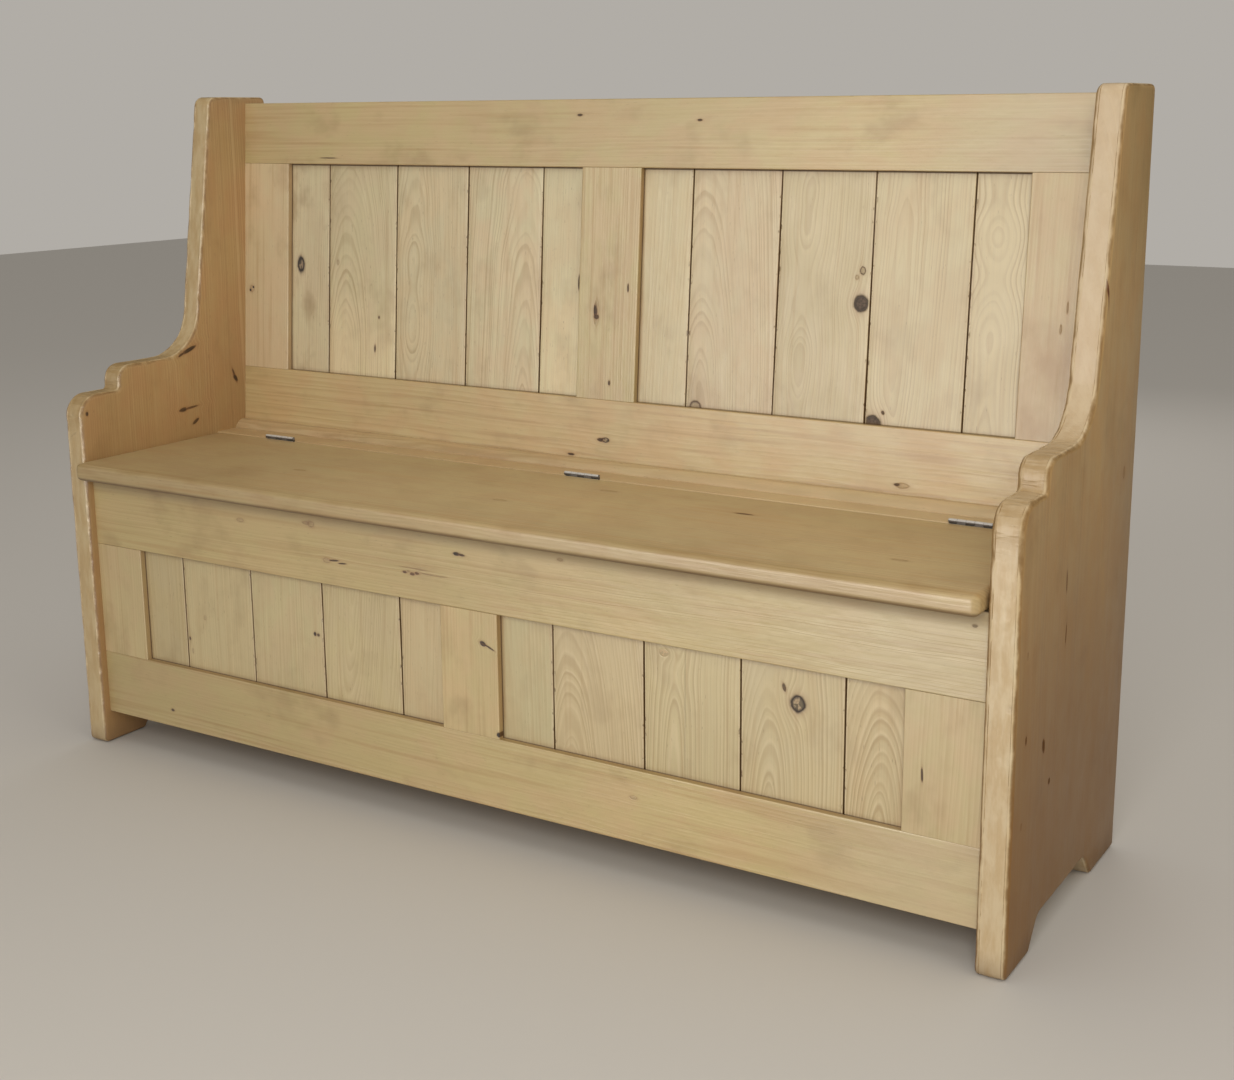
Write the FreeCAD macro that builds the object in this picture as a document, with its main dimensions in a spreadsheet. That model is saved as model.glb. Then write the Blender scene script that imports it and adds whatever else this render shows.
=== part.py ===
import FreeCAD, Part
import os
import math

# Old pine box settle: two shaped end panels, a framed and boarded front, a
# leaning framed and boarded back, a boxed-in base with a floor, and a hinged
# lid for the seat.  Millimetres.  +X right seen from the front, the front
# faces -Y, +Z up, z = 0 is the floor, and the origin is at the middle of the
# footprint.

V = FreeCAD.Vector
doc = FreeCAD.newDocument("settle_bench")

# ---------------------------------------------------------------- dimensions
sheet = doc.addObject("Spreadsheet::Sheet", "Dims")
DIMS = [
    # overall
    ("overall_width", 1500.0), ("panel_thick", 37.5), ("panel_depth", 430.0),
    ("panel_height", 994.0), ("lid_overhang", 23.0),
    # end panel outline, measured back from its front edge and up from the floor
    ("arm_step_height", 552.5), ("arm_height", 589.0), ("arm_step_depth", 78.0),
    ("wing_foot", 241.2), ("wing_head", 304.6),
    ("arch_height", 35.0), ("arch_start", 82.0), ("arch_end", 326.0),
    ("arch_slope", 30.0),
    ("nose_radius", 34.0), ("step_radius", 24.0), ("step_corner", 5.0),
    ("cove_radius", 78.0), ("wing_radius", 17.0), ("rear_radius", 9.0),
    ("foot_radius", 7.5), ("arch_radius", 22.0), ("toe_radius", 9.0),
    ("panel_round", 5.0),
    # seat
    ("seat_height", 454.0), ("lid_thick", 26.0), ("lid_end_gap", 2.5),
    ("lid_nose", 8.0), ("lid_corner", 9.0), ("lid_arris", 2.2),
    ("bearing_gap", 0.3),
    # lid depth and ledge, measured back from the end panels' front edge
    ("lid_rear", 274.5), ("axis_depth", 276.0), ("axis_rise", 3.3),
    ("ledge_front", 277.5), ("ledge_depth", 90.0), ("ledge_arris", 1.8),
    ("bead_depth", 22.5), ("bead_height", 12.5),
    # framed panels
    ("frame_thick", 22.0), ("frame_recess", 13.5), ("frame_arris", 1.6),
    ("groove_inset", 9.5), ("groove_width", 9.2), ("groove_depth", 9.0),
    ("tenon_length", 24.0), ("tenon_thick", 9.0), ("tenon_width", 56.0),
    ("tenon_gap", 0.15),
    # front frame, heights from the floor and widths along X
    ("front_rail_low", 50.2), ("front_rail_low_top", 149.5),
    ("front_rail_top_low", 322.3),
    ("front_left_edge", -620.5), ("front_mid_left", -50.5),
    ("front_mid_right", 43.5), ("front_right_edge", 614.5),
    # back frame, distances up its own slope from its bottom edge
    ("rake_deg", 4.375), ("back_face_depth", 342.5), ("back_rail_low", 99.4),
    ("back_rail_top_low", 433.1), ("back_height", 529.6),
    ("back_left_edge", -617.4), ("back_mid_left", -49.4),
    ("back_mid_right", 50.5), ("back_right_edge", 617.6),
    # boards
    ("board_thick", 9.0), ("board_gap", 2.4), ("board_arris", 1.2),
    ("board_tuck", 8.0), ("tongue_thick", 3.0), ("tongue_length", 5.0),
    ("tongue_slot", 3.4), ("slot_depth", 3.2),
    # lower carcase
    ("lower_back_thick", 16.0), ("lower_back_inner", 347.0),
    ("floor_thick", 15.0), ("cleat_width", 22.0), ("cleat_height", 22.0),
    ("floor_cleat_height", 18.0), ("bearer_width", 40.0),
    ("batten_width", 60.0), ("batten_thick", 20.0), ("batten_length", 205.0),
    ("batten_front", 50.0), ("batten_offset", 430.0), ("batten_round", 3.0),
    # hinges: butt hinges let into the two edges, with the knuckle standing up
    ("hinge_length", 58.0), ("leaf_height", 16.0), ("leaf_thick", 1.5),
    ("knuckle_radius", 3.0), ("pin_bore", 1.25), ("pin_radius", 1.2),
    ("knuckle_gap", 0.3), ("pin_head", 2.1),
    ("hinge_left_x", -572.0), ("hinge_centre_x", 8.0), ("hinge_right_x", 591.0),
    ("leaf_screw_spread", 19.0), ("leaf_screw_drop", 12.0),
    ("leaf_screw_head", 2.7), ("leaf_screw_shank", 1.4),
    ("leaf_screw_length", 16.0),
    # stopped housings in the end panels for the frames and the lower back,
    # and the bearer's own housings
    ("housing", 5.0), ("bearer_housing", 4.0),
    # lid batten screws and cleat screws
    ("batten_screw_shank", 2.0), ("batten_screw_head", 4.0),
    ("batten_screw_into", 17.5), ("cleat_screw_into", 18.0),
    ("cleat_screw_inset", 45.0),
]
for i, (alias, value) in enumerate(DIMS, start=1):
    sheet.set("A%d" % i, alias)
    sheet.set("B%d" % i, repr(float(value)))
    sheet.setAlias("B%d" % i, alias)
doc.recompute()


def num(alias):
    return float(sheet.get(alias))


# shared positions, written once as expressions of the sheet
D = "Dims."
XI = "(Dims.overall_width / 2 - Dims.panel_thick)"       # inner face of an end panel
FY = "(Dims.lid_overhang / 2 - Dims.panel_depth / 2)"    # front edge of the end panels
xi = num("overall_width") / 2 - num("panel_thick")
fy = num("lid_overhang") / 2 - num("panel_depth") / 2
XH = "(" + XI + " + Dims.housing)"                       # half length of what is housed
FRONT_Y = "(" + FY + " + Dims.frame_recess)"             # face of the front frame
INNER_Y = "(" + FRONT_Y + " + Dims.frame_thick)"         # inside of the front frame
REAR_Y = "(" + FY + " + Dims.lower_back_inner)"          # inside of the lower back
UNDER = "(Dims.seat_height - Dims.lid_thick)"            # underside of the lid
BEAR = "(" + UNDER + " - Dims.bearing_gap)"              # what the lid comes down to


# ------------------------------------------------------------------- helpers
def role(body, name):
    for f in body.Origin.OriginFeatures:
        if f.Role == name:
            return f
    raise ValueError(name)


def bind(obj, **exprs):
    for prop, expr in exprs.items():
        obj.setExpression(prop.replace("__", "."), expr)


def new_body(label, x, y, z, raked=False):
    b = doc.addObject("PartDesign::Body", label)
    b.Label = label
    if raked:
        b.Placement = FreeCAD.Placement(
            V(0, 0, 0), FreeCAD.Rotation(V(-1, 0, 0), num("rake_deg")))
    b.setExpression("Placement.Base.x", x)
    b.setExpression("Placement.Base.y", y)
    b.setExpression("Placement.Base.z", z)
    if raked:
        b.setExpression("Placement.Rotation.Angle", "Dims.rake_deg")
    return b


def rect_sketch(b, name, w, h, plane="XY_Plane"):
    s = b.newObject("Sketcher::SketchObject", name)
    s.AttachmentSupport = [(role(b, plane), "")]
    s.MapMode = "FlatFace"
    p = [V(0, 0, 0), V(10, 0, 0), V(10, 10, 0), V(0, 10, 0)]
    s.addGeometry([Part.LineSegment(p[i], p[(i + 1) % 4]) for i in range(4)], False)
    import Sketcher
    c = [Sketcher.Constraint("Coincident", i, 2, (i + 1) % 4, 1) for i in range(4)]
    c += [Sketcher.Constraint("Coincident", 0, 1, -1, 1),
          Sketcher.Constraint("Horizontal", 0), Sketcher.Constraint("Horizontal", 2),
          Sketcher.Constraint("Vertical", 1), Sketcher.Constraint("Vertical", 3)]
    s.addConstraint(c)
    k = s.addConstraint(Sketcher.Constraint("DistanceX", 0, 1, 0, 2, 10.0))
    s.renameConstraint(k, "across")
    k = s.addConstraint(Sketcher.Constraint("DistanceY", 1, 1, 1, 2, 10.0))
    s.renameConstraint(k, "deep")
    s.setExpression("Constraints.across", w)
    s.setExpression("Constraints.deep", h)
    return s


def timber(label, sx, sy, sz, x, y, z, raked=False):
    # a sawn and planed piece: its cross-section drawn flat and padded up
    b = new_body(label, x, y, z, raked)
    s = rect_sketch(b, label + "_section", sx, sy)
    pad = b.newObject("PartDesign::Pad", label + "_blank")
    pad.Profile = s
    pad.setExpression("Length", sz)
    doc.recompute()
    return b


def box_feature(b, kind, name, sx, sy, sz, x, y, z):
    f = b.newObject("PartDesign::%sBox" % kind, name)
    bind(f, Length=sx, Width=sy, Height=sz)
    f.setExpression("Placement.Base.x", x)
    f.setExpression("Placement.Base.y", y)
    f.setExpression("Placement.Base.z", z)
    return f


def hole_x(b, name, radius, length, x, y, z, towards=1):
    # a round hole along X, starting at x and running towards +X or -X
    f = b.newObject("PartDesign::SubtractiveCylinder", name)
    f.Placement = FreeCAD.Placement(
        V(0, 0, 0), FreeCAD.Rotation(V(0, 1, 0), 90 * towards))
    bind(f, Radius=radius, Height=length)
    f.setExpression("Placement.Base.x", x)
    f.setExpression("Placement.Base.y", y)
    f.setExpression("Placement.Base.z", z)
    return f


def hole_y(b, name, radius, length, x, y, z, towards=1):
    f = b.newObject("PartDesign::SubtractiveCylinder", name)
    f.Placement = FreeCAD.Placement(
        V(0, 0, 0), FreeCAD.Rotation(V(-1, 0, 0), 90 * towards))
    bind(f, Radius=radius, Height=length)
    f.setExpression("Placement.Base.x", x)
    f.setExpression("Placement.Base.y", y)
    f.setExpression("Placement.Base.z", z)
    return f


def hole_z(b, name, radius, length, x, y, z):
    f = b.newObject("PartDesign::SubtractiveCylinder", name)
    bind(f, Radius=radius, Height=length)
    f.setExpression("Placement.Base.x", x)
    f.setExpression("Placement.Base.y", y)
    f.setExpression("Placement.Base.z", z)
    return f


def round_edges(b, name, radius, want):
    doc.recompute()
    tip = b.Tip
    names = []
    for i, e in enumerate(tip.Shape.Edges, start=1):
        if want(e):
            names.append("Edge%d" % i)
    if not names:
        raise ValueError("no edges to round on " + b.Label + " " + name)
    f = b.newObject("PartDesign::Fillet", name)
    f.Base = (tip, names)
    f.setExpression("Radius", radius)
    doc.recompute()
    return f


def along(e, axis, tol=1e-4):
    if e.Curve.TypeId != "Part::GeomLine":
        return False
    d = e.Curve.Direction
    return abs(abs((d.x, d.y, d.z)[axis]) - 1) < tol


def at(e, **want):
    c = e.BoundBox.Center
    for k, v in want.items():
        if abs(getattr(c, k) - v) > 0.02:
            return False
    return True


# ---------------------------------------------------------------- end panels
# The outline in the depth and height plane, as a closed polygon whose corners
# are then rounded: foot, arch, foot, straight rear edge, square wing head,
# sloping wing front, long cove, short flat, step, and the rounded arm.
OUTLINE = [
    ("toe", "0", "0"),
    ("arch_a", "Dims.arch_start", "0"),
    ("arch_b", "Dims.arch_start + Dims.arch_slope", "Dims.arch_height"),
    ("arch_c", "Dims.arch_end - Dims.arch_slope", "Dims.arch_height"),
    ("arch_d", "Dims.arch_end", "0"),
    ("heel", "Dims.panel_depth", "0"),
    ("head_rear", "Dims.panel_depth", "Dims.panel_height"),
    ("head_front", "Dims.wing_head", "Dims.panel_height"),
    ("wing_foot", "Dims.wing_foot", "Dims.arm_height"),
    ("step_top", "Dims.arm_step_depth", "Dims.arm_height"),
    ("step_low", "Dims.arm_step_depth", "Dims.arm_step_height"),
    ("arm_front", "0", "Dims.arm_step_height"),
]
CORNERS = {
    "toe": "toe_radius", "arch_a": "foot_radius", "arch_b": "arch_radius",
    "arch_c": "arch_radius", "arch_d": "foot_radius", "heel": "foot_radius",
    "head_rear": "rear_radius", "head_front": "wing_radius",
    "wing_foot": "cove_radius", "step_top": "step_radius",
    "step_low": "step_corner", "arm_front": "nose_radius",
}
SIN = "sin(Dims.rake_deg)"
COS = "cos(Dims.rake_deg)"
# the back frame's own origin: its lower front arris; its rear arris rests on the ledge
BACK_Y = "(" + FY + " + Dims.back_face_depth)"
BACK_Z = "(Dims.seat_height + Dims.frame_thick * " + SIN + ")"


def back_point_y(up, deep):
    return "(%s + (%s) * %s + (%s) * %s)" % (BACK_Y, up, SIN, deep, COS)


def back_point_z(up, deep):
    return "(%s + (%s) * %s - (%s) * %s)" % (BACK_Z, up, COS, deep, SIN)


CLEAT_SPOTS = [(y, z)
               for z in (BEAR + " - Dims.cleat_height / 2",
                         "(Dims.front_rail_low + Dims.floor_cleat_height / 2)")
               for y in ("(" + INNER_Y + " + Dims.cleat_screw_inset)",
                         "(" + REAR_Y + " - Dims.cleat_screw_inset)")]


def end_panel(label, left):
    import Sketcher
    x = "-Dims.overall_width / 2" if left else XI
    b = new_body(label, x, FY, "0")
    s = b.newObject("Sketcher::SketchObject", label + "_outline")
    s.AttachmentSupport = [(role(b, "YZ_Plane"), "")]
    s.MapMode = "FlatFace"
    pts = []
    for nm, ey, ez in OUTLINE:
        def ev(t):
            t = t.replace("Dims.", "")
            return total_of(t)
        pts.append(V(ev(ey), ev(ez), 0))
    n = len(pts)
    s.addGeometry([Part.LineSegment(pts[i], pts[(i + 1) % n]) for i in range(n)], False)
    s.addConstraint([Sketcher.Constraint("Coincident", i, 2, (i + 1) % n, 1)
                     for i in range(n)])
    s.addConstraint(Sketcher.Constraint("Coincident", 0, 1, -1, 1))
    for i in range(1, n):
        nm, ey, ez = OUTLINE[i]
        if ey == "0":
            s.addConstraint(Sketcher.Constraint("PointOnObject", i, 1, -2))
        else:
            k = s.addConstraint(Sketcher.Constraint("DistanceX", -1, 1, i, 1, pts[i].x))
            s.renameConstraint(k, nm + "_y")
            s.setExpression("Constraints." + nm + "_y", ey)
        if ez == "0":
            s.addConstraint(Sketcher.Constraint("PointOnObject", i, 1, -1))
        else:
            k = s.addConstraint(Sketcher.Constraint("DistanceY", -1, 1, i, 1, pts[i].y))
            s.renameConstraint(k, nm + "_z")
            s.setExpression("Constraints." + nm + "_z", ez)
    pad = b.newObject("PartDesign::Pad", label + "_blank")
    pad.Profile = s
    pad.setExpression("Length", "Dims.panel_thick")
    doc.recompute()
    corner = {OUTLINE[i][0]: pts[i] for i in range(n)}
    for nm, rad in CORNERS.items():
        p = corner[nm]
        round_edges(b, label + "_" + nm, "Dims." + rad,
                    lambda e: along(e, 0) and at(e, y=p.x, z=p.y))
    t = num("panel_thick")
    round_edges(b, label + "_arris", "Dims.panel_round",
                lambda e: e.BoundBox.XLength < 0.01)
    # stopped housings in the inner face for the front frame, the lower back and
    # the leaning back frame
    inner = "Dims.panel_thick - Dims.housing" if left else "0"
    box_feature(b, "Subtractive", label + "_front_housing", "Dims.housing",
                "Dims.frame_thick", BEAR + " - Dims.front_rail_low",
                inner, "Dims.frame_recess", "Dims.front_rail_low")
    box_feature(b, "Subtractive", label + "_lower_back_housing", "Dims.housing",
                "Dims.lower_back_thick", BEAR + " - Dims.front_rail_low",
                inner, "Dims.lower_back_inner", "Dims.front_rail_low")
    f = b.newObject("PartDesign::SubtractiveBox", label + "_back_housing")
    f.Placement = FreeCAD.Placement(
        V(0, 0, 0), FreeCAD.Rotation(V(-1, 0, 0), num("rake_deg")))
    bind(f, Length="Dims.housing", Width="Dims.frame_thick", Height="Dims.back_height")
    f.setExpression("Placement.Base.x", inner)
    f.setExpression("Placement.Base.y", "Dims.back_face_depth")
    f.setExpression("Placement.Base.z", BACK_Z)
    f.setExpression("Placement.Rotation.Angle", "Dims.rake_deg")
    # pilot holes for the cleats' screws
    for k, (y, z) in enumerate(CLEAT_SPOTS, start=1):
        hole_x(b, "%s_cleat_hole_%d" % (label, k), "Dims.batten_screw_shank + 0.1",
               "Dims.cleat_screw_into + 1",
               "Dims.panel_thick" if left else "0", y + " - " + FY, z,
               -1 if left else 1)
    return b


def total_of(t):
    # value of a sum and difference of sheet names and numbers
    total, sign = 0.0, 1
    for w in t.split():
        if w == "+":
            sign = 1
        elif w == "-":
            sign = -1
        else:
            total += sign * (float(w) if w[0].isdigit() else num(w))
    return total


KEEP = []
KEEP.append(end_panel("end_panel_left", True))
KEEP.append(end_panel("end_panel_right", False))


# ------------------------------------------------------------ framed panels
# Each frame is two full-length rails with stiles and a muntin tenoned between
# them; a groove round each opening holds the boards.  In a frame's own axes x
# runs along it, y from its face to its rear and z up it.
def rail(label, height, place, raked, groove_top, groove_bottom, mortises, edges):
    length = "(2 * " + XH + ")"
    b = timber(label, length, "Dims.frame_thick", height,
               "-" + XH, place[0], place[1], raked)
    th = num("frame_thick")
    round_edges(b, label + "_arris", "Dims.frame_arris",
                lambda e: along(e, 0) and (abs(e.BoundBox.Center.y) < 0.01
                                           or ("rear" in edges
                                               and abs(e.BoundBox.Center.y - th) < 0.01)))
    if groove_top:
        box_feature(b, "Subtractive", label + "_groove", length,
                    "Dims.groove_width", "Dims.groove_depth", "0",
                    "Dims.groove_inset", "(" + height + ") - Dims.groove_depth")
    if groove_bottom:
        box_feature(b, "Subtractive", label + "_groove", length,
                    "Dims.groove_width", "Dims.groove_depth", "0",
                    "Dims.groove_inset", "0")
    for k, (a, c) in enumerate(mortises, start=1):
        mid = "((%s) + (%s)) / 2 + %s - Dims.tenon_width / 2 - Dims.tenon_gap" % (a, c, XH)
        z = ("(" + height + ") - Dims.tenon_length - 1" if groove_top else "0")
        box_feature(b, "Subtractive", "%s_mortise_%d" % (label, k),
                    "Dims.tenon_width + 2 * Dims.tenon_gap",
                    "Dims.groove_width", "Dims.tenon_length + 1",
                    mid, "Dims.groove_inset", z)
    return b


def upright(label, a, c, z0, z1, place_y, place_z, raked, grooves):
    # a stile or muntin between x = a and x = c, from z0 to z1 up the frame
    w = "((%s) - (%s))" % (c, a)
    h = "((%s) - (%s))" % (z1, z0)
    b = timber(label, w, "Dims.frame_thick", h, a, place_y, place_z, raked)
    wn = b.Shape.BoundBox.XLength
    keep = [x for x, g in ((0.0, "a" in grooves), (wn, "c" in grooves)) if g]
    round_edges(b, label + "_arris", "Dims.frame_arris",
                lambda e: along(e, 2) and abs(e.BoundBox.Center.y) < 0.01
                and any(abs(e.BoundBox.Center.x - x) < 0.01 for x in keep))
    if "a" in grooves:
        box_feature(b, "Subtractive", label + "_groove_a", "Dims.groove_depth",
                    "Dims.groove_width", h, "0", "Dims.groove_inset", "0")
    if "c" in grooves:
        box_feature(b, "Subtractive", label + "_groove_c", "Dims.groove_depth",
                    "Dims.groove_width", h, w + " - Dims.groove_depth",
                    "Dims.groove_inset", "0")
    mid = "((%s) + (%s)) / 2" % (a.replace(XH, XI), c.replace(XH, XI))
    for nm, z in (("low", "-Dims.tenon_length"), ("high", h)):
        box_feature(b, "Additive", label + "_tenon_" + nm, "Dims.tenon_width",
                    "Dims.tenon_thick", "Dims.tenon_length",
                    mid + " - (%s) - Dims.tenon_width / 2" % a,
                    "Dims.groove_inset + (Dims.groove_width - Dims.tenon_thick) / 2", z)
    return b


def board(label, a, c, z0, z1, place_y, place_z, raked, tongue, slot):
    # a matched board between x = a and x = c: a tongue on its right edge and a
    # slot for the next board's tongue in its left edge, both where it meets
    # another board; its ends and outer edges tuck into the frame's grooves
    w = "((%s) - (%s))" % (c, a)
    h = "((%s) - (%s))" % (z1, z0)
    b = timber(label, w, "Dims.board_thick", h, a, place_y, place_z, raked)
    wn = b.Shape.BoundBox.XLength
    keep = [x for x, g in ((0.0, slot), (wn, tongue)) if g]
    round_edges(b, label + "_arris", "Dims.board_arris",
                lambda e: along(e, 2) and abs(e.BoundBox.Center.y) < 0.01
                and any(abs(e.BoundBox.Center.x - x) < 0.01 for x in keep))
    mid = "(Dims.board_thick - Dims.tongue_thick) / 2"
    mids = "(Dims.board_thick - Dims.tongue_slot) / 2"
    if tongue:
        box_feature(b, "Additive", label + "_tongue", "Dims.tongue_length",
                    "Dims.tongue_thick", h, w, mid, "0")
    if slot:
        box_feature(b, "Subtractive", label + "_slot", "Dims.slot_depth",
                    "Dims.tongue_slot", h, "0", mids, "0")
    return b


def panel_boards(prefix, left, right, joints, z0, z1, place_y, place_z, raked):
    # boards across one opening: joints are the middles of the gaps between them
    out = []
    n = len(joints) + 1
    tuck = "Dims.board_tuck"
    for i in range(n):
        a = ("(%s) - %s" % (left, tuck)) if i == 0 else \
            "(%s) + Dims.board_gap / 2" % joints[i - 1]
        c = ("(%s) + %s" % (right, tuck)) if i == n - 1 else \
            "(%s) - Dims.board_gap / 2" % joints[i]
        out.append(board("%s_%d" % (prefix, i + 1), a, c,
                         "(%s) - %s" % (z0, tuck), "(%s) + %s" % (z1, tuck),
                         place_y, place_z, raked, i < n - 1, i > 0))
    return out


# front frame
FL, FMA, FMC, FR = ("Dims.front_left_edge", "Dims.front_mid_left",
                    "Dims.front_mid_right", "Dims.front_right_edge")
mort_f = [("-" + XI, FL), (FMA, FMC), (FR, XI)]
KEEP.append(rail("front_top_rail", BEAR + " - Dims.front_rail_top_low",
                 (FRONT_Y, "Dims.front_rail_top_low"), False, False, True,
                 mort_f, "front"))
KEEP.append(rail("front_bottom_rail",
                 "Dims.front_rail_low_top - Dims.front_rail_low",
                 (FRONT_Y, "Dims.front_rail_low"), False, True, False,
                 mort_f, "front rear"))
box_feature(KEEP[-1], "Subtractive", "front_bottom_rail_bearer_housing",
            "Dims.bearer_width", "Dims.bearer_housing", "Dims.floor_cleat_height",
            XH + " - Dims.bearer_width / 2",
            "Dims.frame_thick - Dims.bearer_housing", "0")
FZ0, FZ1 = "Dims.front_rail_low_top", "Dims.front_rail_top_low"
KEEP.append(upright("front_left_stile", "-" + XH, FL, FZ0, FZ1, FRONT_Y, FZ0,
                    False, "c"))
KEEP.append(upright("front_muntin", FMA, FMC, FZ0, FZ1, FRONT_Y, FZ0,
                    False, "ac"))
KEEP.append(upright("front_right_stile", FR, XH, FZ0, FZ1, FRONT_Y, FZ0,
                    False, "a"))
BY = FRONT_Y + " + Dims.groove_inset + (Dims.groove_width - Dims.board_thick) / 2"
KEEP += panel_boards("front_left_board", FL, FMA,
                     ["-540.5", "-403.5", "-267.3", "-127.0"], FZ0, FZ1, BY,
                     FZ0 + " - Dims.board_tuck", False)
KEEP += panel_boards("front_right_board", FMC, FR,
                     ["125.6", "263.0", "400.0", "538.0"], FZ0, FZ1, BY,
                     FZ0 + " - Dims.board_tuck", False)

# back frame, leaning back; heights here run up its slope
BL, BMA, BMC, BR = ("Dims.back_left_edge", "Dims.back_mid_left",
                    "Dims.back_mid_right", "Dims.back_right_edge")
mort_b = [("-" + XI, BL), (BMA, BMC), (BR, XI)]


def slope(up, deep="0"):
    return back_point_y(up, deep), back_point_z(up, deep)


KEEP.append(rail("back_bottom_rail", "Dims.back_rail_low",
                 slope("0"), True, True, False, mort_b, "front"))
KEEP.append(rail("back_top_rail", "Dims.back_height - Dims.back_rail_top_low",
                 slope("Dims.back_rail_top_low"), True, False, True, mort_b,
                 "front rear"))
BZ0, BZ1 = "Dims.back_rail_low", "Dims.back_rail_top_low"
sy, sz = slope(BZ0)
KEEP.append(upright("back_left_stile", "-" + XH, BL, BZ0, BZ1, sy, sz, True, "c"))
KEEP.append(upright("back_muntin", BMA, BMC, BZ0, BZ1, sy, sz, True, "ac"))
KEEP.append(upright("back_right_stile", BR, XH, BZ0, BZ1, sy, sz, True, "a"))
by, bz = slope(BZ0 + " - Dims.board_tuck",
               "Dims.groove_inset + (Dims.groove_width - Dims.board_thick) / 2")
KEEP += panel_boards("back_left_board", BL, BMA,
                     ["-537.0", "-398.6", "-260.6", "-122.8"], BZ0, BZ1, by, bz, True)
KEEP += panel_boards("back_right_board", BMC, BR,
                     ["131.0", "268.6", "406.3", "543.6"], BZ0, BZ1, by, bz, True)

# ------------------------------------------------------------ seat and ledge
lid_w = "(2 * " + XI + " - 2 * Dims.lid_end_gap)"
lid_d = "(Dims.lid_rear + Dims.lid_overhang)"
lid = timber("seat_lid", lid_w, lid_d, "Dims.lid_thick",
             "-" + XI + " + Dims.lid_end_gap", FY + " - Dims.lid_overhang", UNDER)
wn, dn, tn = lid.Shape.BoundBox.XLength, lid.Shape.BoundBox.YLength, num("lid_thick")
round_edges(lid, "seat_lid_corner", "Dims.lid_corner",
            lambda e: along(e, 2) and at(e, y=0.0))
round_edges(lid, "seat_lid_nose", "Dims.lid_nose",
            lambda e: (e.BoundBox.ZLength < 0.01
                       and e.BoundBox.YMax < num("lid_corner") + 0.05))
round_edges(lid, "seat_lid_arris", "Dims.lid_arris",
            lambda e: along(e, 0) and at(e, y=dn) and abs(e.BoundBox.Center.z - tn) < 0.01)
HINGES = [("left", "Dims.hinge_left_x"), ("centre", "Dims.hinge_centre_x"),
          ("right", "Dims.hinge_right_x")]
for nm, hx in HINGES:
    box_feature(lid, "Subtractive", "seat_lid_leaf_recess_" + nm,
                "Dims.hinge_length + 0.1", "Dims.leaf_thick",
                "Dims.leaf_height + 0.05",
                hx + " - Dims.hinge_length / 2 - 0.05 + " + XI + " - Dims.lid_end_gap",
                lid_d + " - Dims.leaf_thick", "Dims.lid_thick - Dims.leaf_height - 0.05")
    for k, sgn in ((1, "-"), (2, "+")):
        hole_y(lid, "seat_lid_screw_%s_%d" % (nm, k),
               "Dims.leaf_screw_shank + 0.05", "Dims.leaf_screw_length + 1",
               hx + " " + sgn + " Dims.leaf_screw_spread + " + XI + " - Dims.lid_end_gap",
               lid_d, "Dims.lid_thick - Dims.leaf_screw_drop", -1)
BAT = [("left", "-Dims.batten_offset"), ("right", "Dims.batten_offset")]
bat_y = ["Dims.batten_front + 30", "Dims.batten_front + Dims.batten_length - 30"]
for nm, bx in BAT:
    for k, e in enumerate(bat_y, start=1):
        hole_z(lid, "seat_lid_batten_screw_%s_%d" % (nm, k),
               "Dims.batten_screw_shank + 0.1", "Dims.batten_screw_into + 1",
               bx + " + " + XI + " - Dims.lid_end_gap",
               e + " + Dims.lid_overhang", "0")
KEEP.append(lid)

for nm, bx in BAT:
    b = timber("lid_batten_" + nm, "Dims.batten_width", "Dims.batten_length",
               "Dims.batten_thick", bx + " - Dims.batten_width / 2",
               FY + " + Dims.batten_front", UNDER + " - Dims.batten_thick")
    round_edges(b, b.Label + "_arris", "Dims.batten_round",
                lambda e: e.BoundBox.ZLength < 0.01 and abs(e.BoundBox.Center.z) < 0.01)
    for k, off in ((1, "30"), (2, "Dims.batten_length - 30")):
        hole_z(b, "%s_hole_%d" % (b.Label, k), "Dims.batten_screw_shank + 0.1",
               "Dims.batten_thick", "Dims.batten_width / 2", off, "0")
        hole_z(b, "%s_sink_%d" % (b.Label, k), "Dims.batten_screw_head + 0.1",
               "2.6", "Dims.batten_width / 2", off, "0")
    KEEP.append(b)

ledge_w = "(2 * " + XI + ")"
ledge = timber("hinge_ledge", ledge_w, "Dims.ledge_depth",
               "Dims.lid_thick + Dims.bearing_gap", "-" + XI,
               FY + " + Dims.ledge_front", BEAR)
tl = num("lid_thick") + num("bearing_gap")
round_edges(ledge, "hinge_ledge_arris", "Dims.ledge_arris",
            lambda e: along(e, 0) and at(e, y=0.0) and abs(e.BoundBox.Center.z - tl) < 0.01)
for nm, hx in HINGES:
    box_feature(ledge, "Subtractive", "hinge_ledge_leaf_recess_" + nm,
                "Dims.hinge_length + 0.1", "Dims.leaf_thick",
                "Dims.leaf_height + 0.05",
                hx + " - Dims.hinge_length / 2 - 0.05 + " + XI, "0",
                "Dims.lid_thick + Dims.bearing_gap - Dims.leaf_height - 0.05")
    for k, sgn in ((1, "-"), (2, "+")):
        hole_y(ledge, "hinge_ledge_screw_%s_%d" % (nm, k),
               "Dims.leaf_screw_shank + 0.05", "Dims.leaf_screw_length + 1",
               hx + " " + sgn + " Dims.leaf_screw_spread + " + XI, "0",
               "Dims.lid_thick + Dims.bearing_gap - Dims.leaf_screw_drop", 1)
KEEP.append(ledge)

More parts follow.
